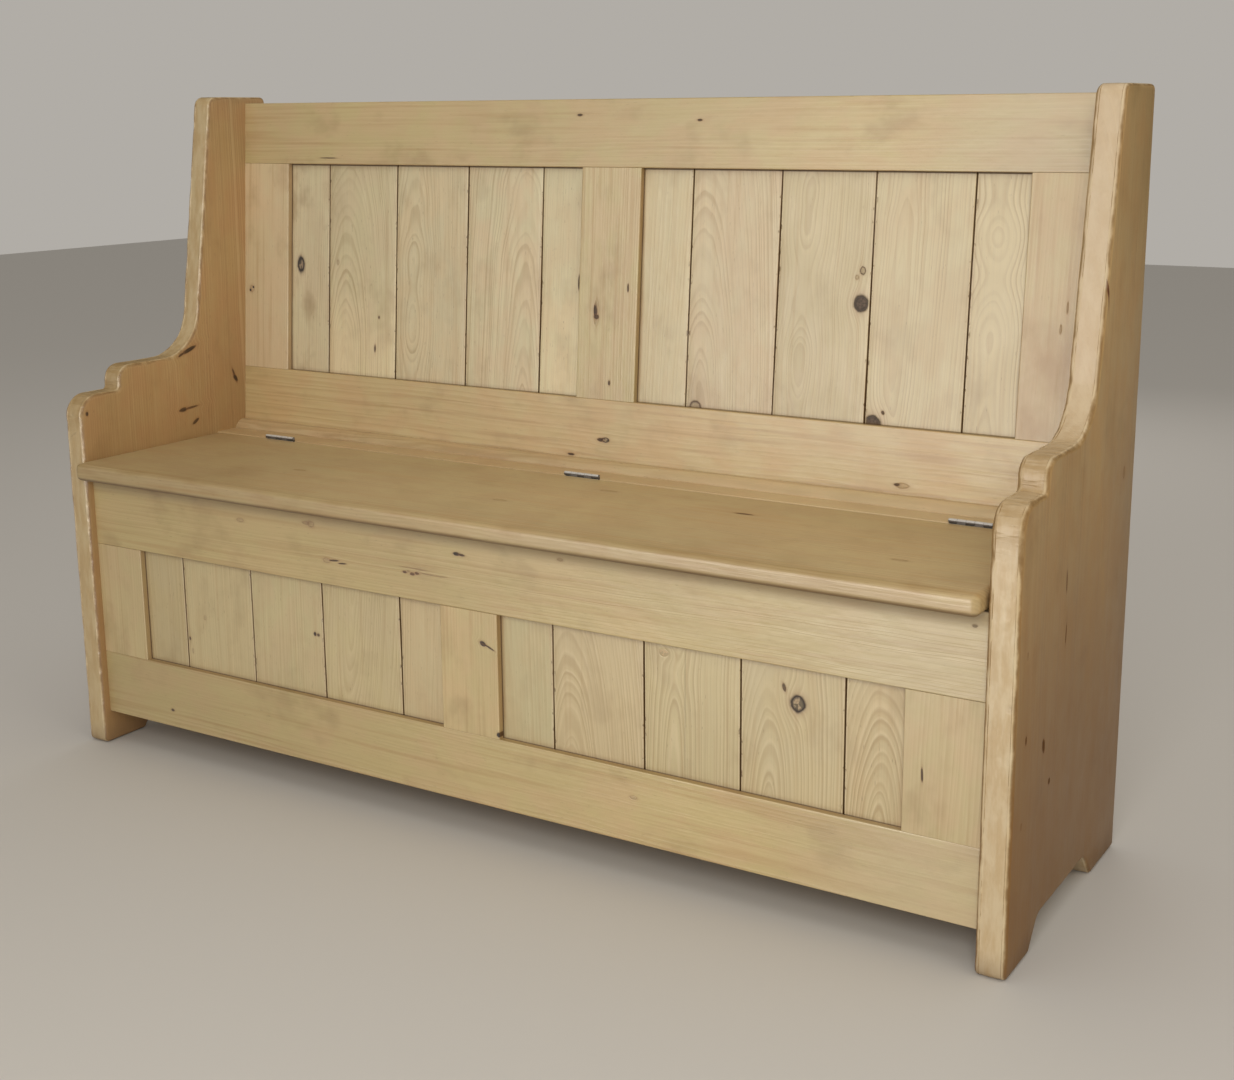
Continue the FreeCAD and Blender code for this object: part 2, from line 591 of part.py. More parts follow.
# a low quarter-round bead in the corner between the ledge and the leaning
# back: an elliptical section, drawn with its own flat back and base
bead = doc.addObject("PartDesign::Body", "ledge_bead")
bead.Label = "ledge_bead"
bead.setExpression("Placement.Base.x", "-" + XI)
bead.setExpression("Placement.Base.y", BACK_Y + " - Dims.bead_depth")
bead.setExpression("Placement.Base.z", "Dims.seat_height")
import Sketcher
sk = bead.newObject("Sketcher::SketchObject", "ledge_bead_section")
sk.AttachmentSupport = [(role(bead, "YZ_Plane"), "")]
sk.MapMode = "FlatFace"
bd, bh = num("bead_depth"), num("bead_height")
lean = bh * math.tan(math.radians(num("rake_deg")))
base = -num("frame_thick") * math.sin(math.radians(num("rake_deg"))) \
    * math.tan(math.radians(num("rake_deg")))
# a quarter round, made with one arc through its shoulder
p0, p1 = V(0, 0, 0), V(bd - 0.2, 0, 0)
p2 = V(bd - 0.2, bh, 0)
sh = V(bd * 0.34, bh * 0.80, 0)
arc = Part.Arc(p2, sh, V(0, 1.2, 0))
sk.addGeometry([Part.LineSegment(p0, p1), Part.LineSegment(p1, p2),
                arc, Part.LineSegment(V(0, 1.2, 0), p0)], False)
sk.addConstraint([
    Sketcher.Constraint("Coincident", 0, 1, -1, 1),
    Sketcher.Constraint("Horizontal", 0), Sketcher.Constraint("Vertical", 1),
    Sketcher.Constraint("Vertical", 3),
    Sketcher.Constraint("Coincident", 0, 2, 1, 1),
    Sketcher.Constraint("Coincident", 3, 2, 0, 1)])
for g, pos in ((1, 2), (3, 1)):
    target = p2 if g == 1 else V(0, 1.2, 0)
    for end in (1, 2):
        q = sk.getPoint(2, end)
        if (V(q.x, q.y, 0) - target).Length < 1e-6:
            sk.addConstraint(Sketcher.Constraint("Coincident", g, pos, 2, end))
k = sk.addConstraint(Sketcher.Constraint("DistanceX", 0, 1, 0, 2, bd - 0.2))
sk.renameConstraint(k, "depth")
sk.setExpression("Constraints.depth", "Dims.bead_depth - 0.2")
k = sk.addConstraint(Sketcher.Constraint("DistanceY", 1, 1, 1, 2, bh))
sk.renameConstraint(k, "rise")
sk.setExpression("Constraints.rise", "Dims.bead_height")
k = sk.addConstraint(Sketcher.Constraint("DistanceY", 3, 2, 3, 1, 1.2))
sk.renameConstraint(k, "lip")
k = sk.addConstraint(Sketcher.Constraint("Radius", 2, arc.toShape().Curve.Radius))
sk.renameConstraint(k, "round")
pad = bead.newObject("PartDesign::Pad", "ledge_bead_length")
pad.Profile = sk
pad.setExpression("Length", ledge_w)
doc.recompute()
KEEP.append(bead)

# ------------------------------------------------------------- lower carcase
for kind, hgt, z, spots in (
        ("seat_cleat_", "Dims.cleat_height", BEAR + " - Dims.cleat_height",
         CLEAT_SPOTS[:2]),
        ("floor_cleat_", "Dims.floor_cleat_height", "Dims.front_rail_low",
         CLEAT_SPOTS[2:])):
    for nm, x in (("left", "-" + XI), ("right", XI + " - Dims.cleat_width")):
        b = timber(kind + nm, "Dims.cleat_width", REAR_Y + " - " + INNER_Y, hgt,
                   x, INNER_Y, z)
        for k, (py, pz) in enumerate(spots, start=1):
            hole_x(b, "%s_hole_%d" % (b.Label, k), "Dims.batten_screw_shank + 0.1",
                   "Dims.cleat_width", "0", py + " - " + INNER_Y,
                   pz + " - (" + z + ")", 1)
            hole_x(b, "%s_sink_%d" % (b.Label, k), "Dims.batten_screw_head + 0.1",
                   "2.6", "Dims.cleat_width - 2.6" if nm == "left" else "0",
                   py + " - " + INNER_Y, pz + " - (" + z + ")", 1)
        KEEP.append(b)
KEEP.append(timber("floor_bearer_middle", "Dims.bearer_width",
                   REAR_Y + " - " + INNER_Y + " + 2 * Dims.bearer_housing",
                   "Dims.floor_cleat_height", "-Dims.bearer_width / 2",
                   INNER_Y + " - Dims.bearer_housing", "Dims.front_rail_low"))
FLOOR_Z = "(Dims.front_rail_low + Dims.floor_cleat_height)"
half = "(" + REAR_Y + " - " + INNER_Y + ") / 2"
for nm, y, in (("front", INNER_Y), ("rear", INNER_Y + " + " + half + " + 1.0")):
    KEEP.append(timber("box_floor_board_" + nm, "2 * " + XI, half + " - 1.0",
                       "Dims.floor_thick", "-" + XI, y, FLOOR_Z))
LB = "(" + BEAR + " - Dims.front_rail_low) / 2"
low = timber("lower_back_board_lower", "2 * " + XH,
             "Dims.lower_back_thick", LB + " - 1.0", "-" + XH, REAR_Y,
             "Dims.front_rail_low")
box_feature(low, "Additive", "lower_back_tongue", "2 * " + XH, "5", "6",
            "0", "Dims.lower_back_thick / 2 - 2.5", LB + " - 1.0")
box_feature(low, "Subtractive", "lower_back_bearer_housing", "Dims.bearer_width",
            "Dims.bearer_housing", "Dims.floor_cleat_height",
            XH + " - Dims.bearer_width / 2", "0", "0")
upp = timber("lower_back_board_upper", "2 * " + XH,
             "Dims.lower_back_thick", LB + " - 1.0", "-" + XH, REAR_Y,
             "Dims.front_rail_low + " + LB + " + 1.0")
box_feature(upp, "Subtractive", "lower_back_slot", "2 * " + XH, "5.4", "5",
            "0", "Dims.lower_back_thick / 2 - 2.7", "0")
KEEP += [low, upp]

# -------------------------------------------------------------------- hinges
AX_Y = "(" + FY + " + Dims.axis_depth)"
AX_Z = "(Dims.seat_height + Dims.axis_rise)"
LID_EDGE = "(" + FY + " + Dims.lid_rear)"
LEDGE_EDGE = "(" + FY + " + Dims.ledge_front)"
SEG = "(Dims.hinge_length / 5)"


def part_box(name, sx, sy, sz, x, y, z):
    o = doc.addObject("Part::Box", name)
    bind(o, Length=sx, Width=sy, Height=sz)
    o.setExpression("Placement.Base.x", x)
    o.setExpression("Placement.Base.y", y)
    o.setExpression("Placement.Base.z", z)
    return o


def part_round(kind, name, rot, x, y, z, **size):
    o = doc.addObject("Part::" + kind, name)
    o.Placement = FreeCAD.Placement(V(0, 0, 0), rot)
    bind(o, **size)
    o.setExpression("Placement.Base.x", x)
    o.setExpression("Placement.Base.y", y)
    o.setExpression("Placement.Base.z", z)
    return o


ALONG_X = FreeCAD.Rotation(V(0, 1, 0), 90)
ALONG_Y = FreeCAD.Rotation(V(-1, 0, 0), 90)
BACK_ALONG_Y = FreeCAD.Rotation(V(1, 0, 0), 90)
ALONG_MX = FreeCAD.Rotation(V(0, 1, 0), -90)


def leaf(label, hx, lid_side):
    # a plate let into the edge, tabs up to its own knuckles, knuckle barrels,
    # the pin bore and two countersunk holes
    y = LID_EDGE + " - Dims.leaf_thick" if lid_side else LEDGE_EDGE
    x0 = "(" + hx + " - Dims.hinge_length / 2)"
    own = (1, 3) if lid_side else (0, 2, 4)
    parts = [part_box(label + "_plate", "Dims.hinge_length", "Dims.leaf_thick",
                      "Dims.leaf_height - 0.2", x0, y,
                      "Dims.seat_height - Dims.leaf_height")]
    for k in own:
        a = x0 + " + %d * " % k + SEG + " + Dims.knuckle_gap / 2"
        w = SEG + " - Dims.knuckle_gap"
        parts.append(part_box("%s_tab_%d" % (label, k), w, "Dims.leaf_thick",
                              "Dims.axis_rise + 1.0", a, y,
                              "Dims.seat_height - 1.0"))
        parts.append(part_round("Cylinder", "%s_knuckle_%d" % (label, k), ALONG_X,
                                a, AX_Y, AX_Z, Radius="Dims.knuckle_radius", Height=w))
    fuse = doc.addObject("Part::MultiFuse", label + "_solid")
    fuse.Shapes = parts
    fuse.Refine = True
    tools = [part_round("Cylinder", label + "_bore", ALONG_X,
                        x0 + " - 1", AX_Y, AX_Z, Radius="Dims.pin_bore",
                        Height="Dims.hinge_length + 2")]
    for k, sgn in ((1, "-"), (2, "+")):
        cx = hx + " " + sgn + " Dims.leaf_screw_spread"
        cz = "Dims.seat_height - Dims.leaf_screw_drop"
        if lid_side:
            tools.append(part_round("Cone", "%s_sink_%d" % (label, k), BACK_ALONG_Y,
                                    cx, LID_EDGE + " + 0.01", cz,
                                    Radius1="Dims.leaf_screw_head + 0.06",
                                    Radius2="Dims.leaf_screw_shank + 0.06",
                                    Height="Dims.leaf_thick + 0.02"))
        else:
            tools.append(part_round("Cone", "%s_sink_%d" % (label, k), ALONG_Y,
                                    cx, LEDGE_EDGE + " - 0.01", cz,
                                    Radius1="Dims.leaf_screw_head + 0.06",
                                    Radius2="Dims.leaf_screw_shank + 0.06",
                                    Height="Dims.leaf_thick + 0.02"))
    drill = doc.addObject("Part::MultiFuse", label + "_drills")
    drill.Shapes = tools
    cut = doc.addObject("Part::Cut", label)
    cut.Base, cut.Tool = fuse, drill
    cut.Label = label
    return cut


def leaf_screws(label, lid_side):
    out = []
    for nm, hx in HINGES:
        for k, sgn in ((1, "-"), (2, "+")):
            cx = hx + " " + sgn + " Dims.leaf_screw_spread"
            cz = "Dims.seat_height - Dims.leaf_screw_drop"
            edge = LID_EDGE if lid_side else LEDGE_EDGE
            rot = BACK_ALONG_Y if lid_side else ALONG_Y
            head = part_round("Cone", "%s_head_%s_%d" % (label, nm, k), rot,
                              cx, edge, cz, Radius1="Dims.leaf_screw_head",
                              Radius2="Dims.leaf_screw_shank",
                              Height="Dims.leaf_thick")
            shank = part_round("Cylinder", "%s_shank_%s_%d" % (label, nm, k), rot,
                               cx, edge, cz, Radius="Dims.leaf_screw_shank",
                               Height="Dims.leaf_screw_length")
            f = doc.addObject("Part::Fuse", "%s_%s_%d" % (label, nm, k))
            f.Base, f.Tool = head, shank
            # a straight driver slot across the head
            sy = edge + (" - 0.5" if lid_side else " - 0.1")
            slot = part_box("%s_slot_%s_%d" % (label, nm, k),
                            "2 * Dims.leaf_screw_head + 1", "0.6", "0.7",
                            cx + " - Dims.leaf_screw_head - 0.5", sy, cz + " - 0.35")
            c = doc.addObject("Part::Cut", "%s_cut_%s_%d" % (label, nm, k))
            c.Base, c.Tool = f, slot
            out.append(c)
    g = doc.addObject("Part::Compound", label)
    g.Links = out
    g.Label = label
    return g


for nm, hx in HINGES:
    KEEP.append(leaf("hinge_%s_ledge_leaf" % nm, hx, False))
    KEEP.append(leaf("hinge_%s_lid_leaf" % nm, hx, True))
    pin = part_round("Cylinder", "hinge_%s_pin_rod" % nm, ALONG_X,
                     hx + " - Dims.hinge_length / 2 - 0.2", AX_Y, AX_Z,
                     Radius="Dims.pin_radius", Height="Dims.hinge_length + 0.4")
    cap_a = part_round("Cone", "hinge_%s_pin_end_a" % nm, ALONG_MX,
                       hx + " - Dims.hinge_length / 2 - 0.2", AX_Y, AX_Z,
                       Radius1="Dims.pin_head", Radius2="Dims.pin_radius * 0.6",
                       Height="1.0")
    cap_b = part_round("Cone", "hinge_%s_pin_end_b" % nm, ALONG_X,
                       hx + " + Dims.hinge_length / 2 + 0.2", AX_Y, AX_Z,
                       Radius1="Dims.pin_head", Radius2="Dims.pin_radius * 0.6",
                       Height="1.0")
    p = doc.addObject("Part::MultiFuse", "hinge_%s_pin" % nm)
    p.Shapes = [pin, cap_a, cap_b]
    p.Label = "hinge_%s_pin" % nm
    KEEP.append(p)
KEEP.append(leaf_screws("ledge_hinge_screws", False))
KEEP.append(leaf_screws("lid_hinge_screws", True))

# screws up through the lid battens
out = []
for nm, bx in BAT:
    for k, e in enumerate(bat_y, start=1):
        z0 = UNDER + " - Dims.batten_thick"
        head = part_round("Cylinder", "batten_screw_head_%s_%d" % (nm, k),
                          FreeCAD.Rotation(), bx, FY + " + " + e, z0 + " + 0.2",
                          Radius="Dims.batten_screw_head", Height="2.4")
        shank = part_round("Cylinder", "batten_screw_shank_%s_%d" % (nm, k),
                           FreeCAD.Rotation(), bx, FY + " + " + e, z0 + " + 0.2",
                           Radius="Dims.batten_screw_shank",
                           Height="Dims.batten_thick + Dims.batten_screw_into - 0.2")
        slot = part_box("batten_screw_slot_%s_%d" % (nm, k), "10", "1.0", "1.2",
                        bx + " - 5", FY + " + " + e + " - 0.5", z0)
        f = doc.addObject("Part::Fuse", "batten_screw_%s_%d" % (nm, k))
        f.Base, f.Tool = head, shank
        c = doc.addObject("Part::Cut", "batten_screw_cut_%s_%d" % (nm, k))
        c.Base, c.Tool = f, slot
        out.append(c)
g = doc.addObject("Part::Compound", "lid_batten_screws")
g.Links = out
g.Label = "lid_batten_screws"
KEEP.append(g)

# screws through the cleats into the end panels
out = []
for side, rot, sgn in (("left", ALONG_MX, -1), ("right", ALONG_X, 1)):
    for k, (y, z) in enumerate(CLEAT_SPOTS, start=1):
        inner = "(%d * (%s - Dims.cleat_width))" % (sgn, XI)
        step = " + " if sgn > 0 else " - "
        head = part_round("Cylinder", "cleat_screw_head_%s_%d" % (side, k), rot,
                          inner + step + "0.2", y, z,
                          Radius="Dims.batten_screw_head", Height="2.4")
        shank = part_round("Cylinder", "cleat_screw_shank_%s_%d" % (side, k), rot,
                           inner + step + "0.2", y, z,
                           Radius="Dims.batten_screw_shank",
                           Height="Dims.cleat_width - 0.2 + Dims.cleat_screw_into")
        slot = part_box("cleat_screw_slot_%s_%d" % (side, k), "1.2", "10", "1.0",
                        inner + (" - 0.2" if sgn > 0 else " - 1.0"),
                        y + " - 5", z + " - 0.5")
        f = doc.addObject("Part::Fuse", "cleat_screw_%s_%d" % (side, k))
        f.Base, f.Tool = head, shank
        c = doc.addObject("Part::Cut", "cleat_screw_cut_%s_%d" % (side, k))
        c.Base, c.Tool = f, slot
        out.append(c)
g = doc.addObject("Part::Compound", "cleat_screws")
g.Links = out
g.Label = "cleat_screws"
KEEP.append(g)

# ------------------------------------------------------------ check and write
doc.recompute()
bad = []
for o in doc.Objects:
    if "Invalid" in o.State or "Error" in o.State:
        bad.append((o.Label, list(o.State)))
for o in KEEP:
    if o.Shape.isNull() or not o.Shape.isValid():
        bad.append((o.Label, "shape"))
if bad:
    raise RuntimeError("failed objects: %r" % bad[:20])
labels = [o.Label for o in KEEP]
if len(labels) != len(set(labels)) or len(labels) > 60:
    raise RuntimeError("labels: %d of %d" % (len(set(labels)), len(labels)))

os.makedirs("parts", exist_ok=True)
for o in KEEP:
    o.Shape.exportStep("parts/%s.step" % o.Label)
box = FreeCAD.BoundBox()
for o in KEEP:
    box.add(o.Shape.BoundBox)
print("%d pieces, %.1f x %.1f x %.1f mm, x %.1f..%.1f y %.1f..%.1f z %.1f..%.1f" % (
    len(KEEP), box.XLength, box.YLength, box.ZLength,
    box.XMin, box.XMax, box.YMin, box.YMax, box.ZMin, box.ZMax))
for o in KEEP:
    print("%-28s solids %d volume %.0f" % (o.Label, len(o.Shape.Solids), o.Shape.Volume))
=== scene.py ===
"""Looks for an old pine settle bench: a box seat with a hinged lid, boarded front and
leaning boarded back between two shaped end panels."""

import math
import random

import bmesh
import bpy
from mathutils import Matrix, Vector, noise


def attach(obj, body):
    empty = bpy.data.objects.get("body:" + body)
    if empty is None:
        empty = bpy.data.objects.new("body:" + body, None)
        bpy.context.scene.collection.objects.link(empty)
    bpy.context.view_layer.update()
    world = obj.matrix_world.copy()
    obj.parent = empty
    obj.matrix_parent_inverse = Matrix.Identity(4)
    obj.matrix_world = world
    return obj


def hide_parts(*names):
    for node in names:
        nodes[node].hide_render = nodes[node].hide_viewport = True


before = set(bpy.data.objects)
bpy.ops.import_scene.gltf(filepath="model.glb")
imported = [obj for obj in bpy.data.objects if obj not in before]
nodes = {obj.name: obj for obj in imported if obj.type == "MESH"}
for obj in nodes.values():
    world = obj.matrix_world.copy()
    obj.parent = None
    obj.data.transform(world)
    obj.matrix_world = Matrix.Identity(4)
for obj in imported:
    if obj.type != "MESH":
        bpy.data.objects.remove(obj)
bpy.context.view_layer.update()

# ------------------------------------------------------------------ camera
YAW, PITCH, ROLL = math.radians(31.609), math.radians(12.186), math.radians(-0.428)
EYE = Vector((1.30065, -1.89542, 0.96200))
ahead = Vector((-math.sin(YAW) * math.cos(PITCH), math.cos(YAW) * math.cos(PITCH),
                -math.sin(PITCH)))
right = Vector((math.cos(YAW), math.sin(YAW), 0.0))
down = ahead.cross(right)
cr, sr = math.cos(ROLL), math.sin(ROLL)
cam_x = right * cr - down * sr
cam_y = -(right * sr + down * cr)
cam_data = bpy.data.cameras.new("camera")
cam_data.sensor_fit = "HORIZONTAL"
cam_data.sensor_width = 36.0
cam_data.lens = 48.995
cam_data.shift_x = -0.01087
cam_data.shift_y = -0.05118
camera = bpy.data.objects.new("camera", cam_data)
m = Matrix((cam_x, cam_y, -ahead)).transposed().to_4x4()
m.translation = EYE
camera.matrix_world = m
bpy.context.scene.collection.objects.link(camera)
bpy.context.scene.camera = camera


# --------------------------------------------------------- small graph language
def lin(c, k=1.0):
    """A colour given as 0-255 display values, as linear RGBA."""
    out = []
    for v in c:
        v = v / 255.0
        v = v / 12.92 if v <= 0.04045 else ((v + 0.055) / 1.055) ** 2.4
        out.append(v * k)
    return (out[0], out[1], out[2], 1.0)


class S:
    """A socket with arithmetic."""

    def __init__(self, g, sock):
        self.g, self.sock = g, sock

    def __add__(self, o):
        return self.g.math("ADD", self, o)

    __radd__ = __add__

    def __sub__(self, o):
        return self.g.math("SUBTRACT", self, o)

    def __rsub__(self, o):
        return self.g.math("SUBTRACT", o, self)

    def __mul__(self, o):
        return self.g.math("MULTIPLY", self, o)

    __rmul__ = __mul__

    def __truediv__(self, o):
        return self.g.math("DIVIDE", self, o)

    def __neg__(self):
        return self.g.math("MULTIPLY", self, -1.0)


class Graph:
    def __init__(self, tree):
        self.tree = tree

    def new(self, kind, **props):
        n = self.tree.nodes.new(kind)
        for k, v in props.items():
            setattr(n, k, v)
        return n

    def put(self, sock, v):
        if isinstance(v, S):
            self.tree.links.new(v.sock, sock)
        elif v is not None:
            sock.default_value = v

    def math(self, op, a, b=None, c=None, clamp=False):
        n = self.new("ShaderNodeMath", operation=op, use_clamp=clamp)
        for i, v in enumerate((a, b, c)):
            if v is not None:
                self.put(n.inputs[i], v)
        return S(self, n.outputs[0])

    def vmath(self, op, a, b=None, scale=None):
        n = self.new("ShaderNodeVectorMath", operation=op)
        self.put(n.inputs[0], a)
        if b is not None:
            self.put(n.inputs[1], b)
        if scale is not None:
            self.put(n.inputs["Scale"], scale)
        return S(self, n.outputs["Value" if op in ("DOT_PRODUCT", "LENGTH") else "Vector"])

    def smooth(self, x, lo, hi, a=0.0, b=1.0):
        n = self.new("ShaderNodeMapRange", interpolation_type="SMOOTHSTEP")
        for name, v in (("Value", x), ("From Min", lo), ("From Max", hi),
                        ("To Min", a), ("To Max", b)):
            self.put(n.inputs[name], v)
        return S(self, n.outputs["Result"])

    def fall(self, x, lo, hi):
        """1 up to lo, falling smoothly to 0 at hi."""
        return self.smooth(x, lo, hi, 1.0, 0.0)

    def noise(self, v, detail=0.0, rough=0.5, w=None, dims="3D"):
        n = self.new("ShaderNodeTexNoise", noise_dimensions=dims)
        n.inputs["Scale"].default_value = 1.0
        n.inputs["Detail"].default_value = detail
        n.inputs["Roughness"].default_value = rough
        if v is not None:
            self.put(n.inputs["Vector"], v)
        if w is not None:
            self.put(n.inputs["W"], w)
        return S(self, n.outputs["Fac"] if "Fac" in n.outputs else n.outputs[0])

    def white(self, w):
        n = self.new("ShaderNodeTexWhiteNoise", noise_dimensions="1D")
        self.put(n.inputs["W"], w)
        return S(self, n.outputs["Value"])

    def mixc(self, f, a, b, mode="MIX"):
        n = self.new("ShaderNodeMix", data_type="RGBA", blend_type=mode)
        self.put(n.inputs[0], f)
        self.put(n.inputs[6], a)
        self.put(n.inputs[7], b)
        return S(self, n.outputs[2])

    def comb(self, x, y, z):
        n = self.new("ShaderNodeCombineXYZ")
        for i, v in enumerate((x, y, z)):
            self.put(n.inputs[i], v)
        return S(self, n.outputs[0])

    def sep(self, v):
        n = self.new("ShaderNodeSeparateXYZ")
        self.put(n.inputs[0], v)
        return tuple(S(self, n.outputs[i]) for i in range(3))

    def use(self, group, **inputs):
        n = self.new("ShaderNodeGroup")
        n.node_tree = group
        for k, v in inputs.items():
            self.put(n.inputs[k], v)
        return {o.name: S(self, o) for o in n.outputs}


def make_group(name, ins, outs):
    t = bpy.data.node_groups.new(name, "ShaderNodeTree")
    for n, kind, d in ins:
        s = t.interface.new_socket(n, in_out="INPUT", socket_type=kind)
        if d is not None:
            s.default_value = d
    for n, kind in outs:
        t.interface.new_socket(n, in_out="OUTPUT", socket_type=kind)
    g = Graph(t)
    gi = t.nodes.new("NodeGroupInput")
    go = t.nodes.new("NodeGroupOutput")
    got = {n: S(g, gi.outputs[n]) for n, _, _ in ins}
    return t, g, got, go


F, V, C = "NodeSocketFloat", "NodeSocketVector", "NodeSocketColor"


# ------------------------------------------------------------------- knots
def knot_group():
    """One knot: pushes the grain aside, and gives its masks."""
    t, g, i, out = make_group(
        "knot",
        [("P", V, None), ("X", F, 0.0), ("Z", F, 0.0), ("A", F, 8.0), ("B", F, 10.0),
         ("Cos", F, 1.0), ("Sin", F, 0.0), ("Lens", F, 0.5), ("Rise", F, 3.0),
         ("Reach", F, 2.2), ("Thick", F, 0.16), ("Seed", F, 0.0)],
        [("P", V), ("Bulge", F), ("Core", F), ("Rim", F), ("Halo", F), ("Turn", F),
         ("Q", F)])
    x, y, z = g.sep(i["P"])
    dx, dz = x - i["X"], z - i["Z"]
    u = (dx * i["Cos"] + dz * i["Sin"]) / i["A"]
    v = (dz * i["Cos"] - dx * i["Sin"]) / i["B"]
    q = g.math("SQRT", u * u + v * v)
    n = g.noise(g.comb(u * 1.3 + i["Seed"], v * 1.3, y * 0.05), detail=2.0)
    qn = q + (n - 0.5) * 0.42
    g.put(out.inputs["Core"], g.fall(qn, 0.80, 1.02))
    rim = (qn - 0.98) / i["Thick"]
    g.put(out.inputs["Rim"], g.math("EXPONENT", -(rim * rim)))
    past = g.math("MAXIMUM", qn - 1.0, 0.0) / 0.75
    g.put(out.inputs["Halo"], g.math("EXPONENT", -(past * past)) * g.smooth(qn, 0.85, 1.0))
    s = q / i["Reach"]
    near = g.math("EXPONENT", -(s * s))
    g.put(out.inputs["Bulge"], i["Rise"] * near)
    g.put(out.inputs["P"], g.comb(x - dx * near * i["Lens"], y, z))
    turn = g.math("ARCTAN2", u, v)
    ray = g.noise(g.comb(turn * 1.4 + i["Seed"], q * 0.6, y * 0.02), detail=1.0)
    g.put(out.inputs["Turn"], ray)
    g.put(out.inputs["Q"], qn)
    return t


# -------------------------------------------------------------------- pine
def pine_group():
    """Growth rings round a pith line that runs beside the piece, cut by its faces, with
    the fibres that run along it. Everything is in millimetres: x across the face, y into
    the piece, z along the grain."""
    t, g, i, out = make_group(
        "pine",
        [("P", V, None), ("PithX", F, 0.0), ("PithY", F, 40.0), ("TiltX", F, 0.0),
         ("TiltY", F, 0.0), ("Wave", F, 0.0), ("Spacing", F, 3.4), ("Wobble", F, 1.0),
         ("Bulge", F, 0.0),
         ("Seed", F, 0.0)],
        [("Ring", F), ("Pale", F), ("Fibre", F), ("Streak", F), ("Patch", F),
         ("Stain", F), ("Tone", F), ("Fleck", F), ("Strength", F)])
    x, y, z = g.sep(i["P"])
    seed = i["Seed"]
    sv = g.comb(seed * 17.31, seed * 5.17, seed * 9.73)

    def field(ax, ay, az, detail=0.0, rough=0.5, shift=0.0):
        v = g.comb(x * (1.0 / ax) + shift, y * (1.0 / ay), z * (1.0 / az))
        return g.noise(g.vmath("ADD", v, sv), detail=detail, rough=rough)

    n1 = field(120, 120, 430, detail=1.0) - 0.5
    n2 = field(30, 30, 150, detail=1.0, shift=7.7) - 0.5
    n3 = field(9, 9, 60, shift=3.1) - 0.5
    dx = x - i["PithX"] - i["TiltX"] * z + n1 * i["Wobble"] * 9.0
    wave = g.noise(g.comb(z * (1.0 / 150.0) + seed * 3.9, seed, 0.5), detail=1.0) - 0.5
    dy = y - i["PithY"] - i["TiltY"] * z + n2 * i["Wobble"] * 6.0 + wave * i["Wave"]
    r = g.math("SQRT", dx * dx + dy * dy) + i["Bulge"] + n3 * i["Wobble"] * 1.1
    vary = g.noise(None, detail=1.0, w=r * (1.0 / 10.0) + seed * 3.3, dims="1D") - 0.5
    tt = (r + vary * 7.0) / i["Spacing"]
    ring = g.math("FLOOR", tt)
    f = tt - ring
    h = g.white(ring + g.math("ROUND", seed * 51.0))
    late = g.smooth(f, 0.44, 0.78) * g.fall(f, 0.90, 1.0)
    g.put(out.inputs["Ring"], late * (h * 0.6 + 0.4))
    pale = g.smooth(f, 0.0, 0.08) * g.fall(f, 0.12, 0.36)
    g.put(out.inputs["Pale"], pale * (h * 0.5 + 0.5))
    band = g.noise(None, w=r * (1.0 / 24.0) + seed * 7.9, dims="1D")
    fade = field(70, 70, 190, detail=1.0, shift=11.3)
    g.put(out.inputs["Strength"], g.smooth(band + fade, 0.62, 1.34, 0.22, 1.0))
    g.put(out.inputs["Fibre"], field(1.5, 1.5, 70, detail=2.0, rough=0.62, shift=5.0))
    g.put(out.inputs["Streak"], field(7, 7, 260, detail=1.0, shift=1.9))
    g.put(out.inputs["Patch"], field(38, 38, 62, detail=2.0, rough=0.55, shift=2.2))
    g.put(out.inputs["Tone"], field(150, 150, 260, detail=1.0, shift=8.8))
    g.put(out.inputs["Stain"], field(60, 60, 85, detail=3.0, rough=0.6, shift=4.4))
    fl = field(1.3, 1.3, 11, detail=1.0, shift=6.6)
    g.put(out.inputs["Fleck"], g.smooth(fl, 0.70, 0.82))
    return t


KNOT, PINE = knot_group(), pine_group()

KINDS = {
    # core colour and strength, rim colour and strength, halo strength, rim thickness
    "dark": ((96, 78, 68), 0.94, (50, 38, 34), 0.90, 0.30, 0.20),
    "eye": ((150, 126, 98), 0.92, (34, 24, 18), 0.98, 0.35, 0.34),
    "ringed": ((172, 148, 118), 0.80, (46, 32, 24), 0.97, 0.35, 0.24),
    "ring": ((176, 150, 116), 0.50, (78, 54, 40), 0.85, 0.20, 0.20),
    "pin": ((86, 58, 34), 0.88, (92, 62, 38), 0.60, 0.30, 0.16),
    "slash": ((104, 68, 38), 0.80, (110, 74, 42), 0.50, 0.30, 0.16),
    "faint": ((164, 126, 84), 0.34, (138, 102, 66), 0.38, 0.20, 0.20),
    "black": ((34, 24, 16), 0.96, (50, 34, 22), 0.85, 0.35, 0.20),
    "crack": ((70, 42, 22), 0.90, (116, 78, 46), 0.45, 0.22, 0.16),
    "slit": ((104, 48, 26), 0.92, (128, 80, 48), 0.50, 0.20, 0.20),
    "pink": ((204, 164, 122), 0.45, (200, 156, 112), 0.0, 0.0, 0.16),
    "flame": ((158, 122, 76), 0.42, (150, 114, 70), 0.10, 0.20, 0.16),
    "thread": ((142, 92, 54), 0.42, (142, 92, 54), 0.20, 0.12, 0.20),
    "rust": ((92, 50, 26), 0.85, (126, 82, 48), 0.50, 0.30, 0.20),
    "thin": ((230, 212, 172), 0.45, (230, 212, 172), 0.0, 0.0, 0.16),
}

